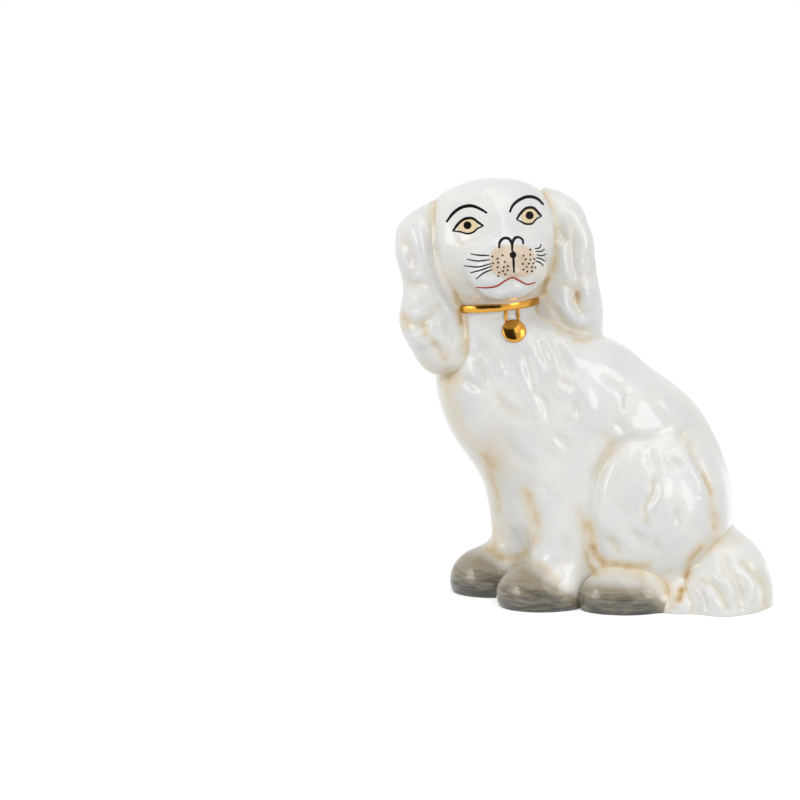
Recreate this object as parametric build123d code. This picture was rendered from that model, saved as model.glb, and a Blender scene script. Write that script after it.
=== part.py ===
"""A seated spaniel mantelpiece figure in glazed earthenware.

The figure is modelled as the separate castings that a figure maker lutes together with slip
before firing: a hollow body, a hollow head, solid ears, forelegs, hind feet and tail, a slab
that closes the underside, and the raised collar, links and locket that are gilded last.

Frame: +Z is up and the floor is Z = 0. The face looks towards -Y and the tail lies towards +X.
The origin is on the floor, in the middle of the figure's outline. Lengths are in millimetres.
Left and right are the dog's own: its left flank is the side that the face looks out from.
"""

from build123d import *
import math
import os

# Body casting
BODY_HEIGHT = 149.5  # floor to the luted seam at the neck
BODY_LENGTH = 152.0  # chest to rump
BODY_DEPTH = 82.0  # flank to flank
NECK_WIDTH = 44.0
NECK_DEPTH = 46.0
NECK_STRAIGHT = 5.0  # straight stretch of neck on each side of the seam
NECK_TILT = 5.0  # degrees that the seam rises towards the tail
WALL = 5.0  # thickness of the hollow castings

# Height, chest edge, back edge, depth and sideways place of each level of the body, as shares
# of the height below the straight neck, BODY_LENGTH, BODY_LENGTH, BODY_DEPTH and BODY_DEPTH
BODY_LEVEL_SHARES = (
    (0.000, -0.215, 0.500, 0.86, 0.020),
    (0.203, -0.220, 0.502, 0.88, 0.020),
    (0.358, -0.270, 0.497, 0.91, 0.015),
    (0.459, -0.365, 0.475, 0.93, 0.012),
    (0.541, -0.428, 0.445, 0.95, 0.010),
    (0.711, -0.493, 0.338, 0.94, -0.010),
    (0.817, -0.500, 0.215, 0.87, -0.025),
    (0.903, -0.482, 0.105, 0.78, -0.040),
    (0.963, -0.464, -0.050, 0.67, -0.060),
)
NECK_PLACE_SHARES = (-0.3125, -0.075)  # of BODY_LENGTH and BODY_DEPTH

# Haunches, swellings of the body casting
HAUNCH_LENGTH = 78.0
HAUNCH_HEIGHT = 84.0
HAUNCH_DEPTH = 60.0
LEFT_HAUNCH_SHARES = (0.222, -0.225, 0.300)  # of BODY_LENGTH, BODY_DEPTH and BODY_HEIGHT
RIGHT_HAUNCH_SHARES = (0.222, 0.215, 0.300)

# Underside
FOOT_RIM = 5.0  # width of the rim that the body stands on
FOOT_RECESS = 2.0  # how far the slab lies above the floor
SLAB_THICKNESS = 5.0
LEDGE_WIDTH = 3.0  # step inside the body that the slab seats against
SLIP_GAP = 0.2  # room for slip round the slab
VENT_DIAMETER = 14.0

# Head casting
HEAD_WIDTH = 61.0
HEAD_HEIGHT = 58.0
HEAD_DEPTH = 80.0  # back of the skull to the nose
HEAD_LIFT = 35.0  # neck seam to the middle of the skull
NAPE_SWELL = 3.0  # how far the neck widens where it runs into the skull
HEAD_FORWARD = 2.0  # how far the skull's middle stands out from the neck's
HEAD_TURN = 10.0  # degrees towards the tail
HEAD_ROLL = 6.0  # degrees, tail side up

# Reach from the skull's middle, width, height and rise of each slice of the head from the back
# to the nose, as shares of HEAD_DEPTH, HEAD_WIDTH, HEAD_HEIGHT and HEAD_HEIGHT
HEAD_SLICE_SHARES = (
    (0.410, 0.22, 0.22, 0.030),
    (0.375, 0.52, 0.52, 0.025),
    (0.270, 0.83, 0.84, 0.015),
    (0.080, 1.00, 1.00, 0.000),
    (-0.120, 1.00, 0.99, -0.010),
    (-0.270, 0.88, 0.88, -0.050),
    (-0.380, 0.70, 0.68, -0.140),
    (-0.470, 0.58, 0.53, -0.200),
    (-0.540, 0.48, 0.42, -0.220),
    (-0.580, 0.30, 0.26, -0.225),
    (-0.590, 0.14, 0.12, -0.225),
)
HOLLOW_SHARE = 0.55  # slices wider than this share of HEAD_WIDTH are hollow

# Ears, which hang from the sides of the head
RIGHT_EAR_LENGTH = 88.0
LEFT_EAR_LENGTH = 79.0
EAR_WIDTH = 34.0
EAR_THICKNESS = 30.0
EAR_ROOT_SHARE = 0.335  # height of the root above the skull's middle, of HEAD_HEIGHT
SHOULDER_SHARE = 0.6  # height from which the body is the shoulders that the ears rest on, of BODY_HEIGHT

# Drop below the root, place outside the head, place in front of the skull's middle, width and
# thickness of each level of an ear, as shares of its length, EAR_WIDTH, EAR_THICKNESS, EAR_WIDTH
# and EAR_THICKNESS
RIGHT_EAR_SHARES = (
    (0.000, -0.12, 0.08, 0.30, 0.34),
    (0.062, 0.06, 0.08, 0.62, 0.64),
    (0.206, 0.14, 0.10, 0.74, 0.84),
    (0.438, 0.11, 0.14, 0.78, 0.95),
    (0.677, 0.13, 0.18, 1.00, 1.00),
    (0.820, 0.06, 0.18, 0.90, 0.92),
    (0.940, 0.03, 0.16, 0.66, 0.68),
    (1.000, 0.05, 0.15, 0.26, 0.28),
)
LEFT_EAR_SHARES = (
    (0.000, 0.02, 0.08, 0.26, 0.32),
    (0.070, 0.14, 0.08, 0.60, 0.62),
    (0.300, 0.18, 0.10, 0.76, 0.84),
    (0.550, 0.10, 0.14, 0.98, 0.95),
    (0.780, 0.12, 0.16, 1.02, 0.95),
    (0.910, 0.20, 0.16, 0.80, 0.82),
    (1.000, 0.29, 0.15, 0.40, 0.42),
)

# Forelegs with their feet
FORELEG_HEIGHT = 80.0
FORELEG_GIRTH = 27.0
FOREFOOT_LENGTH = 43.0
FOREFOOT_WIDTH = 35.0
FOREFOOT_HEIGHT = 24.0

# Height, place along the body, place across the body and girth of each level of a foreleg, as
# shares of FORELEG_HEIGHT, BODY_LENGTH, BODY_DEPTH and FORELEG_GIRTH
LEFT_FORELEG_SHARES = (
    (-0.10, -0.098, -0.330, 1.08),
    (0.22, -0.092, -0.315, 1.00),
    (0.56, -0.090, -0.290, 0.98),
    (0.80, -0.112, -0.260, 1.16),
    (1.00, -0.140, -0.220, 1.36),
)
RIGHT_FORELEG_SHARES = (
    (-0.10, -0.248, 0.050, 1.00),
    (0.22, -0.234, 0.045, 0.92),
    (0.56, -0.230, 0.040, 0.90),
    (0.80, -0.262, 0.030, 1.10),
    (1.00, -0.298, 0.010, 1.30),
)
LEFT_FOREFOOT_SHARES = (-0.160, -0.375)  # of BODY_LENGTH and BODY_DEPTH
RIGHT_FOREFOOT_SHARES = (-0.308, 0.010)

# Hind feet
HIND_FOOT_LENGTH = 46.0
HIND_FOOT_WIDTH = 30.0
HIND_FOOT_HEIGHT = 21.0
LEFT_HIND_FOOT_SHARES = (0.118, -0.475)  # of BODY_LENGTH and BODY_DEPTH
RIGHT_HIND_FOOT_SHARES = (0.118, 0.440)

# How far the middle of a foot lies above the floor, of its height
FOOT_SINK_SHARE = 0.26

# Tail, which lies round the rump on the left flank
TAIL_WIDTH = 44.0
TAIL_HEIGHT = 34.0

# Place along the body, place across the body, width and height above the floor of each slice of
# the tail from its root to its tip, as shares of BODY_LENGTH, BODY_DEPTH, TAIL_WIDTH and
# TAIL_HEIGHT
TAIL_SLICE_SHARES = (
    (0.440, 0.230, 0.40, 0.50),
    (0.486, 0.080, 0.74, 0.85),
    (0.490, -0.120, 0.98, 1.00),
    (0.475, -0.320, 1.06, 1.00),
    (0.455, -0.500, 0.92, 0.81),
    (0.440, -0.610, 0.62, 0.52),
    (0.435, -0.650, 0.30, 0.25),
)

# Hollows between the locks of hair: boats pressed into the near side of the haunch and the tail
LOCK_LENGTH = 28.0
LOCK_WIDTH = 8.0
LOCK_DEPTH = 2.4

# Place along BODY_LENGTH, height as a share of BODY_HEIGHT, turn in degrees, share of LOCK_LENGTH
HAUNCH_LOCK_SHARES = (
    (0.178, 0.582, 8, 1.05),
    (0.066, 0.528, 40, 0.85),
    (0.020, 0.435, 78, 0.95),
    (0.009, 0.308, 92, 0.90),
    (0.362, 0.482, -70, 1.20),
    (0.395, 0.365, -88, 0.70),
    (0.197, 0.381, 80, 0.80),
)

# Place along BODY_LENGTH, height as a share of TAIL_HEIGHT, turn in degrees, share of LOCK_LENGTH
TAIL_LOCK_SHARES = (
    (0.539, 0.560, -41, 0.95),
    (0.480, 0.350, -72, 0.80),
    (0.414, 0.320, -53, 0.95),
    (0.437, 0.735, -79, 0.60),
)

# Gilded collar, links and locket
COLLAR_HEIGHT = 4.4
COLLAR_RELIEF = 1.2
LOCKET_DIAMETER = 12.0
LOCKET_RELIEF = 2.4
LINK_LENGTH = 3.4
LINK_DIAMETER = 1.7
LINK_SPREAD = 6.0  # between the two links at the collar
LOCKET_PLACE_SHARE = 0.234  # towards the tail from the neck's middle, of NECK_WIDTH

# Shared by all pieces
OVERRUN = 10.0  # how far a cut reaches past what it cuts
OVAL_POINTS = 12


def oval(width, depth):
    """A flat oval of the given full sizes, as one smooth closed curve."""
    turn = 2 * math.pi / OVAL_POINTS
    points = [
        (width / 2 * math.cos(k * turn), depth / 2 * math.sin(k * turn))
        for k in range(OVAL_POINTS)
    ]
    return make_face(Spline(*points, periodic=True))


def ellipsoid(width, depth, height):
    """An ellipsoid of the given full sizes about the origin."""
    return scale(Sphere(width / 2), by=(1, depth / width, height / width))


def largest(shape):
    """The largest solid of a shape."""
    return shape.solids().sort_by(SortBy.VOLUME)[-1]


def above_floor(shape):
    """The largest solid of a shape that is cut flat at the floor."""
    return largest(split(shape, bisect_by=Plane.XY, keep=Keep.TOP))


def shoulders(body):
    """The upper part of the body, which the ears rest on."""
    return split(body, bisect_by=Plane.XY.offset(SHOULDER_SHARE * BODY_HEIGHT), keep=Keep.TOP)


def front_point(shape, x, z):
    """The nearest point of a shape to a viewer on the -Y side, and the way out of it there."""
    sight_line = Axis((x, -BODY_DEPTH - OVERRUN, z), (0, 1, 0))
    return shape.find_intersection_points(sight_line)[0]


def locks(shape, height, shares):
    """The hollows between locks of hair: long ellipsoids half sunk in a shape's near side."""
    boats = []
    for along, up, turn, length in shares:
        point, outward = front_point(shape, along * BODY_LENGTH, up * height)
        run = Vector(1, 0, 0).rotate(Axis.Y, -turn)
        place = Plane(point, x_dir=run - outward * run.dot(outward), z_dir=outward)
        boats.append(place * ellipsoid(length * LOCK_LENGTH, LOCK_WIDTH, 2 * LOCK_DEPTH))
    return boats


def on_body(shares):
    """The point on the floor at shares of the body's length and depth."""
    return Vector(shares[0] * BODY_LENGTH, shares[1] * BODY_DEPTH, 0)


def neck_plane(rise):
    """The plane across the neck, a distance above the seam."""
    tilt = math.radians(NECK_TILT)
    normal = Vector(-math.sin(tilt), 0, math.cos(tilt))
    seam = on_body(NECK_PLACE_SHARES) + Vector(0, 0, BODY_HEIGHT)
    return Plane(
        origin=seam + normal * rise,
        x_dir=(math.cos(tilt), 0, math.sin(tilt)),
        z_dir=normal,
    )


def neck_oval(rise, inset):
    """The neck's outline a distance above the seam, drawn in by an inset."""
    return neck_plane(rise) * oval(NECK_WIDTH - 2 * inset, NECK_DEPTH - 2 * inset)


def level_oval(shares, inset):
    """The outline of one level of the body, laid on the floor and drawn in by an inset."""
    _, chest, back, depth, side = shares
    middle = Vector((chest + back) / 2 * BODY_LENGTH, side * BODY_DEPTH, 0)
    length = (back - chest) * BODY_LENGTH - 2 * inset
    return Pos(middle) * oval(length, depth * BODY_DEPTH - 2 * inset)


def foot_oval(inset):
    """The outline that the body stands on, drawn in by its rim and a further inset."""
    return level_oval(BODY_LEVEL_SHARES[0], FOOT_RIM + inset)


def body_levels(inset):
    """The level outlines of the body from below the floor to the neck, drawn in by an inset."""
    yield Pos(0, 0, -OVERRUN) * level_oval(BODY_LEVEL_SHARES[0], inset)
    for shares in BODY_LEVEL_SHARES:
        height = shares[0] * (BODY_HEIGHT - NECK_STRAIGHT)
        yield Pos(0, 0, height) * level_oval(shares, inset)


def body_outside():
    """The body's outer form, solid and not yet cut at the floor: the trunk and its haunches."""
    trunk = loft([*body_levels(0), neck_oval(-NECK_STRAIGHT, 0), neck_oval(0, 0)])
    haunch = ellipsoid(HAUNCH_LENGTH, HAUNCH_DEPTH, HAUNCH_HEIGHT)
    for along, across, up in (LEFT_HAUNCH_SHARES, RIGHT_HAUNCH_SHARES):
        trunk += Pos(along * BODY_LENGTH, across * BODY_DEPTH, up * BODY_HEIGHT) * haunch
    return trunk


def body_casting(outside):
    """The hollow body, open through the neck and at the well under it."""
    ledge = FOOT_RECESS + SLAB_THICKNESS
    _, _, *upper_levels = body_levels(WALL)
    cavity = loft(
        [
            Pos(0, 0, ledge - SLIP_GAP) * foot_oval(LEDGE_WIDTH),
            *upper_levels,
            neck_oval(-NECK_STRAIGHT, WALL),
            neck_oval(OVERRUN, WALL),
        ]
    )
    well = extrude(Pos(0, 0, -2 * OVERRUN) * foot_oval(0), 2 * OVERRUN + ledge)
    return outside - cavity - well


def base_slab():
    """The slab that closes the underside, with its round vent."""
    slab = extrude(Pos(0, 0, FOOT_RECESS) * foot_oval(SLIP_GAP), SLAB_THICKNESS)
    middle = slab.bounding_box().center()
    return slab - Pos(middle) * Cylinder(VENT_DIAMETER / 2, SLAB_THICKNESS + OVERRUN)


def head_place():
    """Where the head's own frame stands: its origin is the middle of the skull."""
    seam = neck_plane(0).origin
    turn = Rot(0, 0, HEAD_TURN) * Rot(0, -HEAD_ROLL, 0)
    return Pos(seam.X, seam.Y - HEAD_FORWARD, seam.Z + HEAD_LIFT) * turn


def head_slices(inset):
    """The upright slices of the head from the back of the skull to the nose."""
    for reach, width, height, rise in HEAD_SLICE_SHARES:
        plane = Plane(
            origin=(0, reach * HEAD_DEPTH, rise * HEAD_HEIGHT), x_dir=(1, 0, 0), z_dir=(0, -1, 0)
        )
        yield plane * oval(width * HEAD_WIDTH - 2 * inset, height * HEAD_HEIGHT - 2 * inset)


def head_outside():
    """The head's outer form, solid: the skull with its muzzle, and the neck down to the seam."""
    skull = head_place() * loft(list(head_slices(0)))
    neck = loft(
        [
            neck_oval(0, 0),
            neck_oval(NECK_STRAIGHT, 0),
            neck_oval(HEAD_LIFT / 2, -NAPE_SWELL),
            neck_oval(HEAD_LIFT, 0),
        ]
    )
    return skull + neck


def head_casting(outside):
    """The hollow head, open through the neck."""
    inner_slices = [
        outline
        for outline, shares in zip(head_slices(WALL), HEAD_SLICE_SHARES)
        if shares[1] > HOLLOW_SHARE
    ]
    cavity = head_place() * loft(inner_slices)
    bore = loft([neck_oval(-OVERRUN, WALL), neck_oval(HEAD_LIFT / 2, WALL)])
    return outside - (cavity + bore)


def ear(side, length, shares):
    """One hanging ear as a whole lobe. Side is -1 for the right ear and 1 for the left."""
    levels = []
    for drop, out, front, width, thickness in shares:
        middle = Vector(
            side * (HEAD_WIDTH / 2 + out * EAR_WIDTH),
            -front * EAR_THICKNESS,
            EAR_ROOT_SHARE * HEAD_HEIGHT - drop * length,
        )
        levels.append(Pos(middle) * oval(width * EAR_WIDTH, thickness * EAR_THICKNESS))
    return head_place() * loft(levels)


def foot(shares, length, width, height):
    """One rounded foot, not yet cut at the floor, at shares of the body's length and depth."""
    sink = FOOT_SINK_SHARE * height
    pad = ellipsoid(length, width, 2 * (height - sink))
    return Pos(on_body(shares) + Vector(0, 0, sink)) * pad


def foreleg(leg_shares, foot_shares):
    """One foreleg from the chest to below the floor, with its foot."""
    levels = [
        Pos(on_body((along, across)) + Vector(0, 0, height * FORELEG_HEIGHT))
        * oval(girth * FORELEG_GIRTH, girth * FORELEG_GIRTH)
        for height, along, across, girth in leg_shares
    ]
    pad = foot(foot_shares, FOREFOOT_LENGTH, FOREFOOT_WIDTH, FOREFOOT_HEIGHT)
    return loft(levels) + pad


def tail():
    """The thick tail that lies round the rump, not yet cut at the floor."""
    middles = [on_body(shares) for shares in TAIL_SLICE_SHARES]
    slices = []
    for k, (_, _, width, height) in enumerate(TAIL_SLICE_SHARES):
        ahead = (middles[min(k + 1, len(middles) - 1)] - middles[max(k - 1, 0)]).normalized()
        plane = Plane(origin=middles[k], x_dir=ahead.cross(Vector(0, 0, 1)), z_dir=ahead)
        slices.append(plane * oval(width * TAIL_WIDTH, 2 * height * TAIL_HEIGHT))
    return loft(slices)


def collar():
    """The raised band round the neck, over the seam, as a whole ring with its bore filled."""
    plane = neck_plane(-COLLAR_HEIGHT / 2)
    band = plane * oval(NECK_WIDTH + 2 * COLLAR_RELIEF, NECK_DEPTH + 2 * COLLAR_RELIEF)
    return extrude(band, COLLAR_HEIGHT, dir=plane.z_dir)


def front_half():
    """A block over everything in front of the neck's middle."""
    seam = neck_plane(0).origin
    side = BODY_LENGTH + BODY_HEIGHT
    return Pos(seam.X, seam.Y - side / 2, seam.Z) * Box(side, side, side)


def locket_frame(body):
    """The plane on the chest that the locket lies on."""
    seam = neck_plane(0).origin
    drop = COLLAR_HEIGHT / 2 + LINK_LENGTH + LOCKET_DIAMETER / 2
    place = LOCKET_PLACE_SHARE * NECK_WIDTH
    point, way_out = front_point(body, seam.X + place, seam.Z - drop)
    return Plane(origin=point, x_dir=Vector(0, 0, 1).cross(way_out), z_dir=way_out)


def locket(frame):
    """The round domed locket, as a whole lens."""
    return frame * ellipsoid(LOCKET_DIAMETER, LOCKET_DIAMETER, 2 * LOCKET_RELIEF)


def locket_links(body, frame):
    """The two links from the collar to the locket, as whole rods."""
    seam = neck_plane(0).origin
    top = seam.Z - COLLAR_HEIGHT / 2
    rim = frame.origin.Z + LOCKET_DIAMETER / 2 * frame.y_dir.Z
    rods = []
    for side in (-1, 1):
        upper, _ = front_point(body, frame.origin.X + side * LINK_SPREAD / 2, top)
        lower, _ = front_point(body, frame.origin.X + side * LINK_SPREAD / 4, rim)
        reach = upper - lower
        middle = (upper + lower) / 2
        rods.append(
            Plane(origin=middle, z_dir=reach)
            * Cylinder(LINK_DIAMETER / 2, reach.length + LINK_DIAMETER)
        )
    return rods


def cut(shape, *others):
    """A shape less the others, so that it seats on them."""
    for other in others:
        shape = shape - other
    return shape


def build():
    """All the pieces of the figure by name. Each piece is cut to seat on the ones before it."""
    body = body_outside()
    head = cut(head_outside(), body)
    left_foreleg = cut(foreleg(LEFT_FORELEG_SHARES, LEFT_FOREFOOT_SHARES), body)
    right_foreleg = cut(foreleg(RIGHT_FORELEG_SHARES, RIGHT_FOREFOOT_SHARES), body, left_foreleg)
    hind_foot_sizes = (HIND_FOOT_LENGTH, HIND_FOOT_WIDTH, HIND_FOOT_HEIGHT)
    left_hind_foot = cut(foot(LEFT_HIND_FOOT_SHARES, *hind_foot_sizes), body, left_foreleg)
    right_hind_foot = cut(foot(RIGHT_HIND_FOOT_SHARES, *hind_foot_sizes), body, right_foreleg)
    right_ear = cut(ear(-1, RIGHT_EAR_LENGTH, RIGHT_EAR_SHARES), head, shoulders(body), right_foreleg)
    left_ear = cut(ear(1, LEFT_EAR_LENGTH, LEFT_EAR_SHARES), head, shoulders(body))
    round_the_neck = (body, head, right_ear, left_ear)
    band = cut(collar(), *round_the_neck) & front_half()
    frame = locket_frame(body)
    disc = locket(frame)
    links = [cut(rod, *round_the_neck, band, disc) for rod in locket_links(body, frame)]
    brush = cut(tail(), body, left_hind_foot, right_hind_foot)
    haunch_locks = locks(body, BODY_HEIGHT, HAUNCH_LOCK_SHARES)
    tail_locks = locks(brush, TAIL_HEIGHT, TAIL_LOCK_SHARES)
    return {
        "body_casting": above_floor(cut(body_casting(body), *haunch_locks)),
        "base_slab": base_slab(),
        "head_casting": largest(head_casting(head)),
        "right_ear": largest(right_ear),
        "left_ear": largest(left_ear),
        "right_foreleg": above_floor(right_foreleg),
        "left_foreleg": above_floor(left_foreleg),
        "right_hind_foot": above_floor(right_hind_foot),
        "left_hind_foot": above_floor(left_hind_foot),
        "tail": above_floor(cut(brush, *tail_locks)),
        "collar": largest(band),
        "locket": largest(cut(disc, *round_the_neck, band)),
        "locket_links": Compound(children=[largest(link) for link in links]),
    }


def main():
    """Builds the figure, centres it on the floor and writes one file for each piece."""
    pieces = build()
    boxes = [piece.bounding_box() for piece in pieces.values()]
    middle_x = (min(box.min.X for box in boxes) + max(box.max.X for box in boxes)) / 2
    middle_y = (min(box.min.Y for box in boxes) + max(box.max.Y for box in boxes)) / 2
    os.makedirs("parts", exist_ok=True)
    for name, piece in pieces.items():
        export_step(Pos(-middle_x, -middle_y, 0) * piece, f"parts/{name}.step")
    print("middle of the outline on the floor", middle_x, middle_y)


if __name__ == "__main__":
    main()
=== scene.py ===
"""Staffordshire dog figure: its glazed looks, built over its CAD frame.

Each casting is a closed skin of its own. A skin is found along rays from inside the casting, where its own form meets
a slip fillet against the castings it is luted to. Modelling strokes and painted lines are placed by photo pixel.
"""

import logging
import math
from dataclasses import dataclass, field
from enum import Enum
from typing import Protocol

import bpy
import numpy as np
from mathutils import Matrix, Vector


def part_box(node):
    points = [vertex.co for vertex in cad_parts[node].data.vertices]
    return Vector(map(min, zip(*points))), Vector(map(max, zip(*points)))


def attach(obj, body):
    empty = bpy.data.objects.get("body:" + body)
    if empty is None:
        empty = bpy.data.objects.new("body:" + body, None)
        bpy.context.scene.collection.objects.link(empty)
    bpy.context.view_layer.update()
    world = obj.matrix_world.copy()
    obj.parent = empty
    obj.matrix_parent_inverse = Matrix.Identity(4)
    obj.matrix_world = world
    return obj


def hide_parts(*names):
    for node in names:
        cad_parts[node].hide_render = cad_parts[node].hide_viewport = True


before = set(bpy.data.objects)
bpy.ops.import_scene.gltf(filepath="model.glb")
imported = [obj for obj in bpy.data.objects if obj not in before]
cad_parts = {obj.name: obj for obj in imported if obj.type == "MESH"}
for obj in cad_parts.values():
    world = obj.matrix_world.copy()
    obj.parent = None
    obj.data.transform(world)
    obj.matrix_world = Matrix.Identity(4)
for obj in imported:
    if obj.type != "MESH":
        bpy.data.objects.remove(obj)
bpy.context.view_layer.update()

LOG = logging.getLogger("staffordshire_dog")
MM = 0.001
BODY = "root"
# Length of a ray in mm, and how often it is halved to find a skin on it.
LONG_REACH = 160.0
BISECTIONS = 26
# Length in mm over which a camera ray is searched, up to the middle of the form.
LOOK_REACH = 120.0
# Elevation in degrees where a fan of rays stops, just short of straight up.
NEAR_POLE = 88.5
# How far a luted edge ends under its neighbour's skin, in mm.
UNDER_SKIN = 0.15
# Share of the grey paint that is left where it is thinnest.
THIN_PAINT = 0.4
# Middle of the base slab in the frame that the stations are given in, in mm.
SLAB_CENTRE = (21.66, 1.64)
Points = np.ndarray
Xyz = tuple[float, float, float]
Span = tuple[float, float]
Line = tuple[tuple[float, float], ...]
Stroke = tuple[float, float, float, Line]
Ribbon = tuple[float, Line]
Dots = tuple[float, Line]
Oval = tuple[float, float, float, float, float]
Egg = tuple[Xyz, Xyz]

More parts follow.
